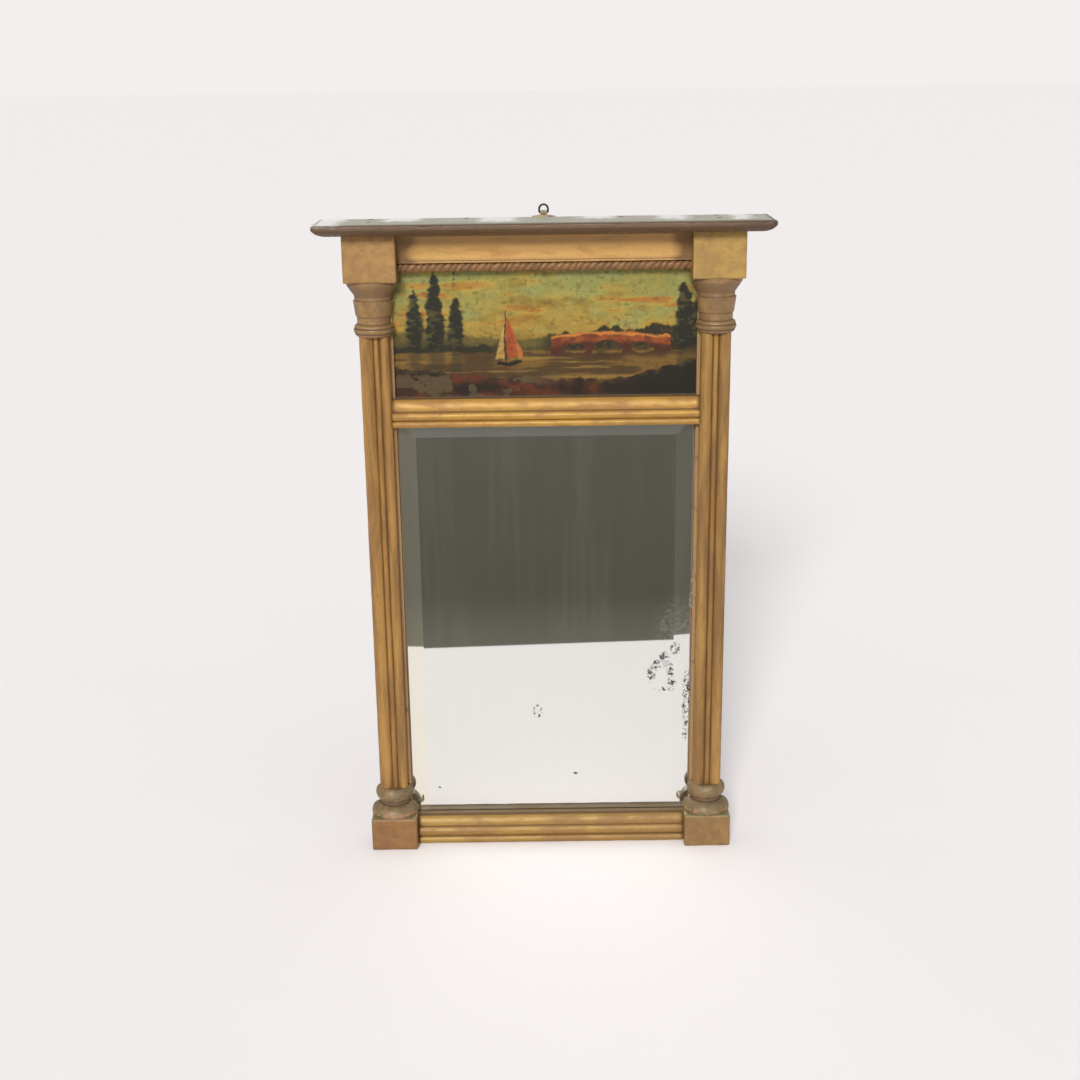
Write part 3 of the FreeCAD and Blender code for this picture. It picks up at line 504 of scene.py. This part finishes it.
def faces_of(index):
    """Faces of a grid of point numbers: each four neighbours in turn."""
    corners = [index[:-1, :-1], index[1:, :-1], index[1:, 1:], index[:-1, 1:]]
    return np.stack(corners, axis=-1).reshape(-1, 4)


def grid_of(x, y, z):
    """Grid of points from three fields of coordinates, each spread over the others."""
    return np.stack(np.broadcast_arrays(x, y, z), axis=-1)


def mark(mesh, word, values):
    """Writes one value for each point of a mesh, for its finish to read."""
    values = np.asarray(values, np.float32).ravel()
    mesh.attributes.new(word, "FLOAT", "POINT").data.foreach_set("value", values)


def piece(name, points, finish, nodes, relief, wrap=True):
    """Grid of points as a finished piece: each four neighbours make a face, and a wrapped grid closes on
    itself and gets a flat face at each end."""
    rows, columns = points.shape[:2]
    index = np.arange(rows * columns).reshape(rows, columns)
    ends = []
    if wrap:
        ends = [index[0].tolist(), index[-1][::-1].tolist()]
        index = np.concatenate([index, index[:, :1]], axis=1)
    mesh = bpy.data.meshes.new(name)
    mesh.from_pydata(points.reshape(-1, 3), [], faces_of(index).tolist() + ends)
    mark(mesh, "relief", np.broadcast_to(relief, points.shape[:2]))
    return finished(name, mesh, finish, nodes)


def finished(name, mesh, finish, nodes):
    """Joins a mesh's doubled points, turns its faces outwards, keeps edges sharper than 38 degrees crisp,
    and fixes it in place of its nodes."""
    work = bmesh.new()
    work.from_mesh(mesh)
    bmesh.ops.remove_doubles(work, verts=work.verts, dist=1e-6)
    bmesh.ops.recalc_face_normals(work, faces=work.faces)
    work.to_mesh(mesh)
    work.free()
    mesh.shade_smooth()
    mesh.set_sharp_from_angle(angle=math.radians(38))
    mesh.materials.append(finish.material)
    made = put(name, mesh)
    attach(made, "frame")
    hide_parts(*nodes)
    return made


def gilding(name, gold, patina, rubbed, grime, metal=0.24, rough=0.46, grain=None, bloom=None):
    """Aged gilding: gold toned down by a brown patina in clouds and mottles, spots rubbed to the clay
    ground, dark specks, fine cracks in the gesso, and grime in the hollows that the piece's relief marks;
    where a piece lowers its relief to stand for shade, that grime colour is painted shade. A bloom is a
    green tint that has crept over the surfaces above a level."""
    coat = Finish(name)
    clouds = coat.noise(14, 4, 0.6, grain)
    mottles = coat.noise(85, 6, 0.65, grain, 0.4)
    spots = coat.noise(210, 6, 0.62)
    specks = coat.noise(520, 3, 0.5)
    grains = coat.noise(1600, 2, 0.5)
    cells = coat.add("TexVoronoi", {"Vector": coat.place, "Scale": 120.0},
                     feature="DISTANCE_TO_EDGE").outputs["Distance"]
    relief = coat.add("Attribute", attribute_name="relief").outputs["Fac"]
    dull = coat.step(coat.sum("ADD", mottles, coat.sum("MULTIPLY", clouds, 0.6)), 0.64, 0.96)
    worn = coat.step(coat.sum("ADD", spots, coat.sum("MULTIPLY", relief, 0.09)), 0.60, 0.78, 0.0, 0.7)
    # Grime in the hollows, and painted shade where a piece has lowered its relief.
    hollow = coat.step(coat.stray(relief, mottles, 0.6), -0.05, -0.75, 0.0, 0.92)
    cracks = coat.sum("MULTIPLY", coat.step(cells, 0.025, 0.0, 0.0, 0.35), coat.step(mottles, 0.48, 0.62))
    tone = coat.blend(dull, gold, patina)
    if bloom:
        height = coat.sum("ADD", coat.along("Z"), coat.sum("MULTIPLY", mottles, 0.004))
        tone = coat.blend(coat.step(height, *bloom, 0.0, 0.75), tone, (132, 130, 92))
    tone = coat.blend(worn, tone, rubbed)
    tone = coat.blend(coat.step(specks, 0.67, 0.78, 0.0, 0.5), tone, grime)
    tone = coat.blend(cracks, tone, grime)
    tone = coat.blend(hollow, tone, grime)
    bare = coat.sum("MAXIMUM", worn, hollow)
    shine = coat.step(coat.sum("ADD", bare, coat.sum("MULTIPLY", dull, 0.5)), 0.0, 1.2)
    coat.wear(Base_Color=tone, Metallic=coat.step(shine, 0.0, 1.0, metal, 0.0),
              Roughness=coat.step(shine, 0.0, 1.0, rough, rough + 0.25))
    fine = coat.bump(grains, 0.00012, 0.35, coat.bump(spots, 0.0004, 0.5))
    coat.wear(Normal=coat.bump(cracks, -0.0002, 0.4, coat.bump(mottles, 0.0006, 0.4, fine)))
    return coat


FRONT = -0.024
for name, half, foot, low_reed, middle_reed, tall, tones in (
    ("mid_rail_moulding", 0.1938, 0.585, 0.0088, 0.011, 0.036,
     ((171, 130, 54), (148, 106, 51), (146, 100, 60))),
    ("bottom_rail_moulding", 0.1815, 0.0, 0.011, 0.014, 0.0395,
     ((150, 118, 55), (131, 97, 48), (132, 92, 52))),
):
    rail_gilding = gilding(name.replace("moulding", "gilding"), *tones, (88, 60, 30), metal=0.22, rough=0.5,
                           grain=(0.3, 1, 1))
    root, crest, head = -0.0115, -0.0155, -0.0045
    upper = low_reed + middle_reed
    section = run_of([(0, 0), (root, 0), (root, low_reed, crest, low_reed / 2),
                      (root, upper, crest, low_reed + middle_reed / 2),
                      (head, tall, head + (root - head) * 0.87, upper + (tall - upper) * 0.57),
                      (0, tall)], 260)
    section = soften(section, 0.0004)
    relief = relief_of(section, 0.0022, 0.0007)
    # The top edge along the glass is made much darker, and the lowest reed a little darker, through the
    # relief.
    relief = relief - 1.5 * soft(section[:, 1], tall - 0.0016, tall - 0.0002)
    relief = relief - 0.15 * soft(section[:, 1], upper, low_reed)
    stations = np.linspace(-half, half, 220)[:, None]
    normal = outward(section)
    swell = 0.00016 * ripple(stations * 30, np.linspace(0, 2, len(section))[None, :], 5)
    swell = np.where(section[:, 0] < -0.001, swell, 0)
    to_end = np.clip(1 - (half - np.abs(stations)) / 0.003, 0, 1)
    ease = np.sqrt(np.clip(1 - to_end ** 2, 0, 1)) * 0.12 + 0.88
    depth = np.maximum((section[:, 0] + swell * normal[:, 0]) * ease, crest)
    level = np.clip(section[:, 1] + swell * normal[:, 1], 0, tall)
    points = grid_of(stations, FRONT + np.minimum(depth, 0), foot + level)
    # The ends are darkened: painted shade where the rails butt the columns and plinths.
    shaded_end = soft(np.abs(stations), half - 0.010, half)
    piece(name.replace("_moulding", "_reeds"), points, rail_gilding, [name],
          relief - 0.8 * shaded_end)

# Plinths and upper blocks: square pine blocks, gessoed and gilded, glued to the front of the stiles under
# the bases and over the capitals. Handling has rounded their edges, most of all on the plinths.


def eased_block(low, high, edge, cell, seed):
    """Box with rounded edges: each point of the six faces is pulled to a fixed distance from a smaller
    inner box. The rounding stops at the back, so the block sits flat on what is behind it. Gives the six
    face grids, and how far each point lies on an edge: its second largest offset from the inner box."""
    low, high = np.array(low), np.array(high)
    inner_low, inner_high = low + edge, high - edge
    inner_high[1] = high[1]
    grids, edges = [], []
    for axis in range(3):
        others = [other for other in range(3) if other != axis]
        steps = [np.linspace(low[o], high[o], max(6, int((high[o] - low[o]) / cell)) + 1) for o in others]
        for end in (low[axis], high[axis]):
            first, second = np.meshgrid(*steps, indexing="ij")
            face = np.empty((*first.shape, 3))
            face[..., others[0]], face[..., others[1]], face[..., axis] = first, second, end
            core = np.clip(face, inner_low, inner_high)
            away = face - core
            reach = np.linalg.norm(away, axis=-1, keepdims=True)
            rounded = np.where(reach > 1e-9, core + away / np.maximum(reach, 1e-9) * edge, face)
            slanted = rounded[..., 0] * 22 + rounded[..., 1] * 31
            dent = 0.5 + 0.5 * ripple(slanted, rounded[..., 2] * 26, seed)
            grids.append(rounded - away / np.maximum(reach, 1e-9) * dent[..., None] * edge * 0.12)
            edges.append(np.sort(np.abs(away), axis=-1)[..., 1] / edge)
    return grids, edges


def block_piece(name, grids, edges, finish, nodes):
    """Six face grids joined into one closed block, with its edges marked as ridges."""
    corners, faces, first = [], [], 0
    for grid in grids:
        index = np.arange(grid.shape[0] * grid.shape[1]).reshape(grid.shape[:2]) + first
        corners.append(grid.reshape(-1, 3))
        faces.append(faces_of(index))
        first += index.size
    mesh = bpy.data.meshes.new(name)
    mesh.from_pydata(np.concatenate(corners), [], np.concatenate(faces).tolist())
    mark(mesh, "relief", np.concatenate([edge.ravel() for edge in edges]))
    return finished(name, mesh, finish, nodes)


plinth_edge, block_edge, cell = 0.0026, 0.0014, 0.0013
for side, seed, plinth_tones, block_tones in (
    ("left", 7, ((134, 95, 52), (116, 81, 45), (140, 82, 46)),
     ((160, 121, 70), (139, 103, 58), (140, 97, 57))),
    ("right", 8, ((139, 106, 61), (119, 90, 51), (145, 94, 52)),
     ((168, 134, 70), (146, 114, 62), (142, 104, 58))),
):
    gilt = gilding(f"plinth_gilding_{side}", *plinth_tones, (80, 60, 40), metal=0.2, rough=0.5,
                   bloom=(0.0455, 0.0485))
    grids, edges = eased_block(*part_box(f"plinth_{side}"), plinth_edge, cell, seed)
    block_piece(f"plinth_{side}_gilt", grids, edges, gilt, [f"plinth_{side}"])
    gilt = gilding(f"block_gilding_{side}", *block_tones, (104, 76, 46))
    grids, edges = eased_block(*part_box(f"upper_block_{side}"), block_edge, cell, seed)
    block_piece(f"upper_block_{side}_gilt", grids, edges, gilt, [f"upper_block_{side}"])

# Half columns: pine worked with two wide reeds and a narrow bead between them, gessoed, gilded and glued
# flat on the stiles. Grime lies in the two deep grooves beside the bead.

for side, bead_middle, seed, tones in (
    ("left", 0.0026, 8, ((163, 122, 63), (122, 87, 46), (120, 80, 42))),
    ("right", 0.0, 10, ((160, 121, 63), (121, 88, 47), (117, 80, 43))),
):
    column_gilding = gilding(f"column_gilding_{side}", *tones, (80, 53, 26), grain=(1, 1, 0.1))
    node = f"column_{side}"
    low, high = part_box(node)
    half, middle = (high[0] - low[0]) / 2, (low[0] + high[0]) / 2
    flat, groove, bead, bead_rise = 0.0104, 0.0108, 0.0037, 0.0032
    bead_low, bead_high = bead_middle - bead, bead_middle + bead
    section = run_of([(half, 0), (-half, 0), (-half, -flat),
                      (bead_low, -groove, (bead_low - half) / 2, -flat - (half + bead_low) * 0.35),
                      (bead_high, -groove, bead_middle, -groove - bead_rise),
                      (half, -flat, (bead_high + half) / 2, -flat - (half - bead_high) * 0.35)], 240)
    section = soften(section, 0.0005)
    relief = relief_of(section, 0.0024, 0.0009)
    stations = np.linspace(low[2], high[2], 260)[:, None]
    normal = outward(section)
    swell = 0.00018 * ripple(stations * 18, np.linspace(0, 2, len(section))[None, :], seed) - 0.0001
    swell = np.where(section[:, 1] < -0.001, swell, 0)
    points = grid_of(np.clip(middle + section[:, 0] + swell * normal[:, 0], low[0], high[0]),
                     np.minimum(FRONT + section[:, 1] + swell * normal[:, 1], FRONT), stations)
    piece(f"{node}_reeds", points, column_gilding, [node], relief)

# Capitals and bases: half turnings of pine, gessoed and gilded, glued on the stiles at the columns' ends.
# The capital has a ring, a neck, a drum and a flare under its abacus; the base has a quarter-round foot, a
# fillet and a ring.


def half_turned(profile, axis_x, foot, around):
    """Profile of radius and height turned once round an upright axis: across is radius times cosine, and
    forward is radius times sine but never below 0, so its back half lies flat on the carcase."""
    angle = np.linspace(0, math.tau, around, endpoint=False)[None, :]
    radius, height = profile[:, :1], profile[:, 1:]
    forward = np.maximum(radius * np.sin(angle), 0)
    return grid_of(axis_x + radius * np.cos(angle), FRONT - forward, foot + height)


capital_gilding = gilding("capital_gilding", (150, 116, 72), (122, 94, 62), (128, 94, 62), (78, 58, 38))
base_gilding = gilding("base_gilding", (127, 102, 69), (97, 85, 59), (158, 114, 73), (80, 53, 37),
                       metal=0.2, rough=0.5)
TURNINGS = {
    "capital": (capital_gilding, "gilt_turning", [
        (0, 0), (0.0209, 0), (0.02241, 0.0155, 0.0257, 0.00837), (0.021, 0.0155), (0.021, 0.0255),
        (0.0224, 0.0255), (0.025, 0.045), (0.0232, 0.045), (0.0232, 0.0505), (0.0323, 0.064),
        (0.0323, 0.069), (0, 0.069)]),
    "column_base": (base_gilding, "worn_gilt", [
        (0, 0), (0.03216, 0), (0.02261, 0.0155, 0.03063, 0.00806), (0.0206, 0.0155), (0.0206, 0.0202),
        (0.0209, 0.0395, 0.0258, 0.02927), (0, 0.0395)]),
}
for word, (finish, slot, profile) in TURNINGS.items():
    for side in ("left", "right"):
        node = f"{word}_{side}"
        low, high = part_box(node)
        run = run_of(profile, 400)
        smooth = soften(run, 0.00035)
        smooth[:, 0] = np.where(run[:, 0] < 0.002, run[:, 0], smooth[:, 0])
        smooth[:, 1] = np.clip(smooth[:, 1], 0, high[2] - low[2])
        relief = relief_of(run, 0.0022, 0.0008)
        if word == "capital":
            for level in (0.0045, 0.0108):
                line = np.exp(-((run[:, 1] - level) / 0.0009) ** 2) * (run[:, 0] > 0.019)
                smooth[:, 0] -= 0.0008 * line
                relief -= 1.1 * line
            # The flare and the abacus above it are darkened through the relief: painted shade on the flare,
            # which faces down.
            relief = relief * 0.75 - 0.3 * soft(run[:, 1], 0.050, 0.054)
            # The ring at the foot is made darker through the relief.
            relief = relief - 0.35 * soft(run[:, 1], 0.0165, 0.0150)
        else:
            # The foot's widest band and the ring's lower part are made lighter, toward the rubbed colour,
            # through the relief.
            relief += 2.2 * np.exp(-((run[:, 1] - 0.005) / 0.0024) ** 2)
            relief += 1.9 * np.exp(-((run[:, 1] - 0.0235) / 0.0022) ** 2)
        outer = np.flatnonzero(run[:, 0] > 1e-5)
        start, stop = outer[0], outer[-1] + 1
        path = np.concatenate([[[0, 0]], smooth[start:stop], [[0, high[2] - low[2]]]])
        points = half_turned(path, (low[0] + high[0]) / 2, low[2], 128)
        points = np.concatenate([points, points[:, :1]], axis=1)
        wear = np.concatenate([[0], relief[start:stop], [0]])[:, None]
        piece(f"{node}_turned", points, finish, [node], wear, wrap=False)

# Rope moulding: a strip carved as a two-strand twist, gilded and now brown with grime, pinned under the
# frieze between the upper blocks.

rope_gilding = gilding("rope_gilding", (133, 95, 53), (108, 76, 43), (108, 74, 43), (75, 49, 27),
                       metal=0.2, rough=0.5)
one_turn, core_out = 0.0172, 0.005
low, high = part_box("rope_moulding")
thick = (high[2] - low[2]) / 2
along = np.linspace(low[0], high[0], 1100)[:, None]
angle = np.linspace(0, math.tau, 56, endpoint=False)[None, :]
wander = 0.0016 * ripple(along * 22, angle * 0, 22)
twist = angle - math.tau * (along + wander) / one_turn
strand = np.abs(np.cos(twist)) ** 0.8
girth = thick * (0.76 + 0.23 * strand) * (1 + 0.025 * ripple(along * 60, angle * 0.3, 21))
bulge = np.sign(np.cos(angle)) * np.abs(np.cos(angle)) ** 0.7
back = np.minimum(FRONT - core_out - girth * bulge, FRONT)
points = grid_of(along, np.maximum(back, low[1]), low[2] + thick + girth * np.sin(angle))
piece("rope_twist", points, rope_gilding, ["rope_moulding"], strand * 1.2 - 0.55)

# Frieze: one length of gilded cove with a narrow fillet at its foot, set between the upper blocks and under
# the cornice. It is the brightest gilding on the frame. Painted shade darkens its upper cove and top lip
# under the cornice, its fillet, and its ends where it runs into the blocks, with some dirt there too.

frieze_gilding = gilding("frieze_gilding", (206, 162, 96), (182, 136, 76), (160, 112, 62), (100, 70, 38),
                         metal=0.26, rough=0.44, grain=(0.3, 1, 1))
low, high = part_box("frieze_moulding")
section = run_of([(0, 0), (-0.0125, 0), (-0.0125, 0.0026), (-0.0105, 0.0026),
                  (-0.024, 0.035, -0.014145, 0.02042), (-0.024, 0.037), (0, 0.037)], 280)
section = soften(section, 0.00035)
relief = relief_of(section, 0.0020, 0.0007)
# Grime is held light below 8 mm, keeping the foot of the cove light.
relief = np.where(section[:, 1] < 0.008, np.maximum(relief, -0.25), relief)
# The upper cove is darkened: painted shade under the cornice, with some darkening of age; the fillet at the
# foot is darkened too: painted shade over its lit ledge.
relief -= 0.37 * soft(section[:, 1], 0.0155, 0.0265) + 1.3 * soft(section[:, 1], 0.0034, 0.0024)
# The top lip is darkened: painted shadow under the cornice.
relief -= 1.3 * soft(section[:, 1], 0.0325, 0.035)
stations = np.linspace(low[0], high[0], 240)[:, None]
normal = outward(section)
swell = 0.00018 * ripple(stations * 24, np.linspace(0, 2, len(section))[None, :], 31) - 0.0001
swell = np.where((section[:, 0] < -0.001) & (section[:, 1] < 0.034), swell, 0)
depth = np.minimum(section[:, 0] + swell * normal[:, 0], 0)
level = np.clip(section[:, 1] + swell * normal[:, 1], 0, 0.037)
points = grid_of(stations, FRONT + depth, low[2] + level)
# Its ends are darkened: painted shade, with some dirt, where it runs into the blocks.
shaded_end = soft(np.abs(stations), high[0] - 0.030, high[0] - 0.002)
piece("frieze_cove", points, frieze_gilding, ["frieze_moulding"], relief - 0.7 * shaded_end)

# Cornice: one pine board with a rounded nose, nailed down on the carcase and the blocks. Its brown toned
# gilding has worn off the top to grey wood, and the top has near-white patches along the back edge and at
# the left end.

toned = Finish("cornice_finish")
clouds = toned.noise(9, 5, 0.6, (0.5, 1, 1))
spots = toned.noise(110, 6, 0.62)
scratches = toned.noise(240, 5, 0.6, (0.06, 1, 1))
specks = toned.noise(480, 3)
brown = toned.blend(toned.step(clouds, 0.38, 0.64), (92, 68, 42), (76, 51, 31))
brown = toned.blend(toned.step(spots, 0.52, 0.72, 0.0, 0.55), brown, (108, 82, 53))
grey = toned.blend(toned.step(scratches, 0.38, 0.64), (160, 154, 136), (190, 186, 170))
edge_x = toned.stray(toned.along("X"), clouds, 0.05)
edge_x = toned.stray(edge_x, spots, 0.03)
reach_back = toned.stray(toned.along("Y"), spots, 0.07)
pale_patch_share = 0.0
# Near-white patches along the back edge of the top, and at the left end below, are laid over the grey.
for start, end, front in (
    (-0.275, -0.238, -0.066), (-0.188, -0.146, -0.044), (-0.074, -0.036, -0.060),
    (0.040, 0.080, -0.036), (0.136, 0.172, -0.056), (0.225, 0.246, -0.068),
):
    patch = toned.sum("MULTIPLY", toned.step(edge_x, start - 0.009, start + 0.009),
                      toned.step(edge_x, end + 0.009, end - 0.009))
    patch = toned.sum("MULTIPLY", patch, toned.step(reach_back, front, front + 0.016, 0.0, 0.9))
    pale_patch_share = toned.sum("MAXIMUM", pale_patch_share, patch)
left_end = toned.step(edge_x, -0.238, -0.250, 0.0, 0.95)
pale_patch_share = toned.sum("MAXIMUM", pale_patch_share, left_end)
top = toned.blend(pale_patch_share, grey, (240, 238, 234))
inward = toned.add("Attribute", attribute_name="inward").outputs["Fac"]
inward = toned.stray(inward, spots, 0.5)
inward = toned.sum("ADD", inward, toned.sum("MULTIPLY", left_end, 0.15))
tone = toned.blend(toned.step(inward, 0.05, 0.80), brown, top)
tone = toned.blend(toned.step(specks, 0.66, 0.74, 0.0, 0.6), tone, (64, 44, 30))
toned.wear(Base_Color=tone, Roughness=toned.step(spots, 0.35, 0.7, 0.42, 0.66),
           Normal=toned.bump(scratches, 0.0003, 0.4, toned.bump(spots, 0.0006, 0.6)))


def under_nose(inward, run, lift):
    """Height of the cornice's underside at a distance inward from its edge: on the circle through the
    points (0, lift), (run / 2, 0.22 lift) and (run, 0), and level beyond the run."""
    ends = np.array([(run / 2, -0.78 * lift), (run, -lift)])
    centre = np.linalg.solve(2 * ends, (ends ** 2).sum(axis=1))
    square = (centre ** 2).sum() - (inward - centre[0]) ** 2
    return np.where(inward < run, lift + centre[1] - np.sqrt(np.clip(square, 0, None)), 0)


low, high = (np.array(corner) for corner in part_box("cornice_board"))
half, reach, thick = high[0], -low[1], high[2] - low[2]
top_edge, corner, notch = 0.0022, 0.006, 0.0151
fine = 0.022 * (1 - np.cos(np.linspace(0, np.pi / 2, 26)))
side_part = np.concatenate([fine - half, np.linspace(0.0245 - half, -0.018, 90),
                            [-notch - 4e-5, 4e-5 - notch]])
x = np.concatenate([side_part, np.linspace(-0.013, 0.013, 14), -side_part[::-1]])
y = np.concatenate([fine - reach, np.linspace(0.0245 - reach, -0.005, 26), [0]])
x, y = np.meshgrid(x, y, indexing="ij")
inward = np.minimum(half - np.abs(x), y + reach)
over_x, over_y = corner - half + np.abs(x), corner - reach - y
in_corner = (over_x > 0) & (over_y > 0)
pull = np.where(in_corner, np.maximum(over_x, over_y) / np.maximum(np.hypot(over_x, over_y), 1e-9), 1)
x = np.where(in_corner, np.sign(x) * (half - corner + over_x * pull), x)
y = np.where(in_corner, corner - reach - over_y * pull, y)
y = np.where((y > -0.001) & (np.abs(x) < notch), -0.002, y)
eased = np.sqrt(np.clip(top_edge ** 2 - np.clip(top_edge - inward, 0, None) ** 2, 0, None)) - top_edge
rubbed_down = 0.00022 + 0.0001 * ripple(x * 30, y * 40, 41)
nicks = sum(deep * np.exp(-((x - place) / wide) ** 2 - (inward / 0.0028) ** 2) for place, wide, deep in (
    (-0.247, 0.006, 0.0012), (-0.142, 0.008, 0.0016), (-0.121, 0.003, 0.0010), (-0.010, 0.010, 0.0009),
    (0.088, 0.005, 0.0013), (0.176, 0.004, 0.0010), (0.223, 0.008, 0.0014), (0.262, 0.004, 0.0010)))
above = high[2] + eased - np.clip(rubbed_down, 0.0001, None) - nicks
below = low[2] + under_nose(inward, 0.019, 0.0086)
sheets = np.concatenate([grid_of(x, y, level).reshape(-1, 3) for level in (above, below)])
index = np.arange(x.size).reshape(x.shape)
quads = faces_of(index)
loop = np.concatenate([index[:-1, 0], index[-1, :-1], index[:0:-1, -1], index[0, :0:-1]])
rim = np.stack([loop, np.roll(loop, -1), np.roll(loop, -1) + x.size, loop + x.size], axis=-1)
cornice_mesh = bpy.data.meshes.new("cornice_worn")
cornice_mesh.from_pydata(sheets, [], np.concatenate([quads, quads[:, ::-1] + x.size, rim]).tolist())
from_edge = np.minimum((half - np.abs(x)) / 0.010, (y + reach) / 0.030)
mark(cornice_mesh, "inward", np.concatenate([np.clip(from_edge, 0, 1).ravel(), np.full(x.size, -0.5)]))
finished("cornice_worn", cornice_mesh, toned, ["cornice_board"])

# Metal: cut iron nails in the backboards and the cornice, rusted brown, and the hanger: a dull brass plate
# on three steel screws, with a dark iron loop.


def old_metal(name, clean, stained, metal, rough):
    """Aged metal: two tones in clouds, pitted spots that lose their shine, and fine hammered relief."""
    skin = Finish(name)
    clouds = skin.noise(160, 5, 0.6)
    pits = skin.noise(900, 4, 0.6)
    stain = skin.step(skin.sum("ADD", clouds, skin.sum("MULTIPLY", pits, 0.3)), 0.55, 0.82)
    skin.wear(Base_Color=skin.blend(stain, clean, stained),
              Metallic=skin.step(stain, 0.0, 1.0, metal, metal * 0.3),
              Roughness=skin.step(stain, 0.0, 1.0, rough, rough + 0.3),
              Normal=skin.bump(pits, 0.0002, 0.5, skin.bump(clouds, 0.0003, 0.4)))
    return skin


for name, skin in (
    ("backboard_nails", old_metal("rusted_nails", (88, 78, 70), (92, 58, 36), 0.8, 0.45)),
    ("cornice_nails", old_metal("cornice_nail_iron", (84, 74, 66), (86, 56, 36), 0.8, 0.45)),
    ("hanger_screws", old_metal("screw_steel", (150, 146, 140), (112, 92, 74), 0.9, 0.35)),
    ("hanger_plate", old_metal("plate_brass", (156, 136, 108), (112, 94, 76), 0.45, 0.46)),
    ("hanger_loop", old_metal("loop_iron", (46, 46, 42), (40, 34, 29), 0.7, 0.42)),
):
    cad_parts[name].material_slots[0].material = skin.material

# Studio: a wide pale floor, a soft key light high in front, weak light from all round, and a dark sheet on
# the floor before the mirror that only its reflections show: it glows, a painted reflection of a dark room.

floor_mesh = bpy.data.meshes.new("floor")
floor_mesh.from_pydata([(-60, -60, 0), (60, -60, 0), (60, 60, 0), (-60, 60, 0)], [], [(0, 1, 2, 3)])
floor_paint = Finish("floor_paint")
floor_paint.wear(Base_Color=floor_paint.blend(floor_paint.noise(3), (247, 242, 241), (244, 239, 238)),
                 Roughness=0.8)
floor_mesh.materials.append(floor_paint.material)
floor = put("floor", floor_mesh)

# The sheet glows and is seen only in reflections: a painted reflection of a dark room beyond the floor,
# lighter nearer the mirror.
reflection_sheet_mesh = bpy.data.meshes.new("reflection_sheet")
reflection_sheet_mesh.from_pydata([(-6, -0.374, 0.002), (6, -1.106, 0.002), (6, -8, 0.002), (-6, -8, 0.002)], [],
                       [(0, 3, 2, 1)])
reflection_glow = Finish("reflection_glow")
far_reflected_tone = reflection_glow.blend(reflection_glow.noise(1.2), (56, 53, 32), (61, 57, 37))
nearness = reflection_glow.step(reflection_glow.along("Y"), -1.05, -0.72)
reflected_room_tone = reflection_glow.blend(nearness, far_reflected_tone, (88, 86, 72))
reflection_glow.wear(Base_Color=linear(20, 20, 16), Roughness=1.0, Emission_Strength=1.0,
                 Emission_Color=reflected_room_tone)
reflection_sheet_mesh.materials.append(reflection_glow.material)
reflection_sheet = put("reflection_sheet", reflection_sheet_mesh)
reflection_sheet.visible_camera = reflection_sheet.visible_diffuse = reflection_sheet.visible_shadow = False

world = bpy.data.worlds.new("soft_room")
world.use_nodes = True
room = world.node_tree
around = room.nodes["Background"]
around.inputs["Color"].default_value = (0.99, 1.0, 1.0, 1)
around.inputs["Strength"].default_value = 0.55
seen = room.nodes.new("ShaderNodeBackground")
seen.inputs["Color"].default_value = linear(243, 239, 238)
ray = room.nodes.new("ShaderNodeLightPath")
choice = room.nodes.new("ShaderNodeMixShader")
room.links.new(ray.outputs["Is Camera Ray"], choice.inputs[0])
room.links.new(around.outputs[0], choice.inputs[1])
room.links.new(seen.outputs[0], choice.inputs[2])
room.links.new(choice.outputs[0], room.nodes["World Output"].inputs["Surface"])
bpy.context.scene.world = world
bpy.context.scene.view_settings.view_transform = "Standard"

key = bpy.data.lights.new("key", "SUN")
key.energy, key.angle = 3.0, math.radians(16)  # a wide sun, for soft shadows
key_light = put("key", key)
from_left, elevation = math.radians(9), math.radians(27)
level_share = math.cos(elevation)
shines = Vector((math.sin(from_left) * level_share, math.cos(from_left) * level_share,
                 -math.sin(elevation)))
key_light.rotation_euler = shines.to_track_quat("-Z", "Y").to_euler()

camera = put("camera", bpy.data.cameras.new("camera"))
camera.data.sensor_width = 36.0
camera.data.lens = 50.88
camera.data.clip_start, camera.data.clip_end = 0.05, 200
stand, look_down, lean = (-0.0097, -1.9175, 1.0235), math.radians(17.37), math.radians(-0.753)
camera.matrix_world = (Matrix.Translation(stand) @ Matrix.Rotation(math.radians(90) - look_down, 4, "X")
                       @ Matrix.Rotation(lean, 4, "Z"))
bpy.context.scene.camera = camera
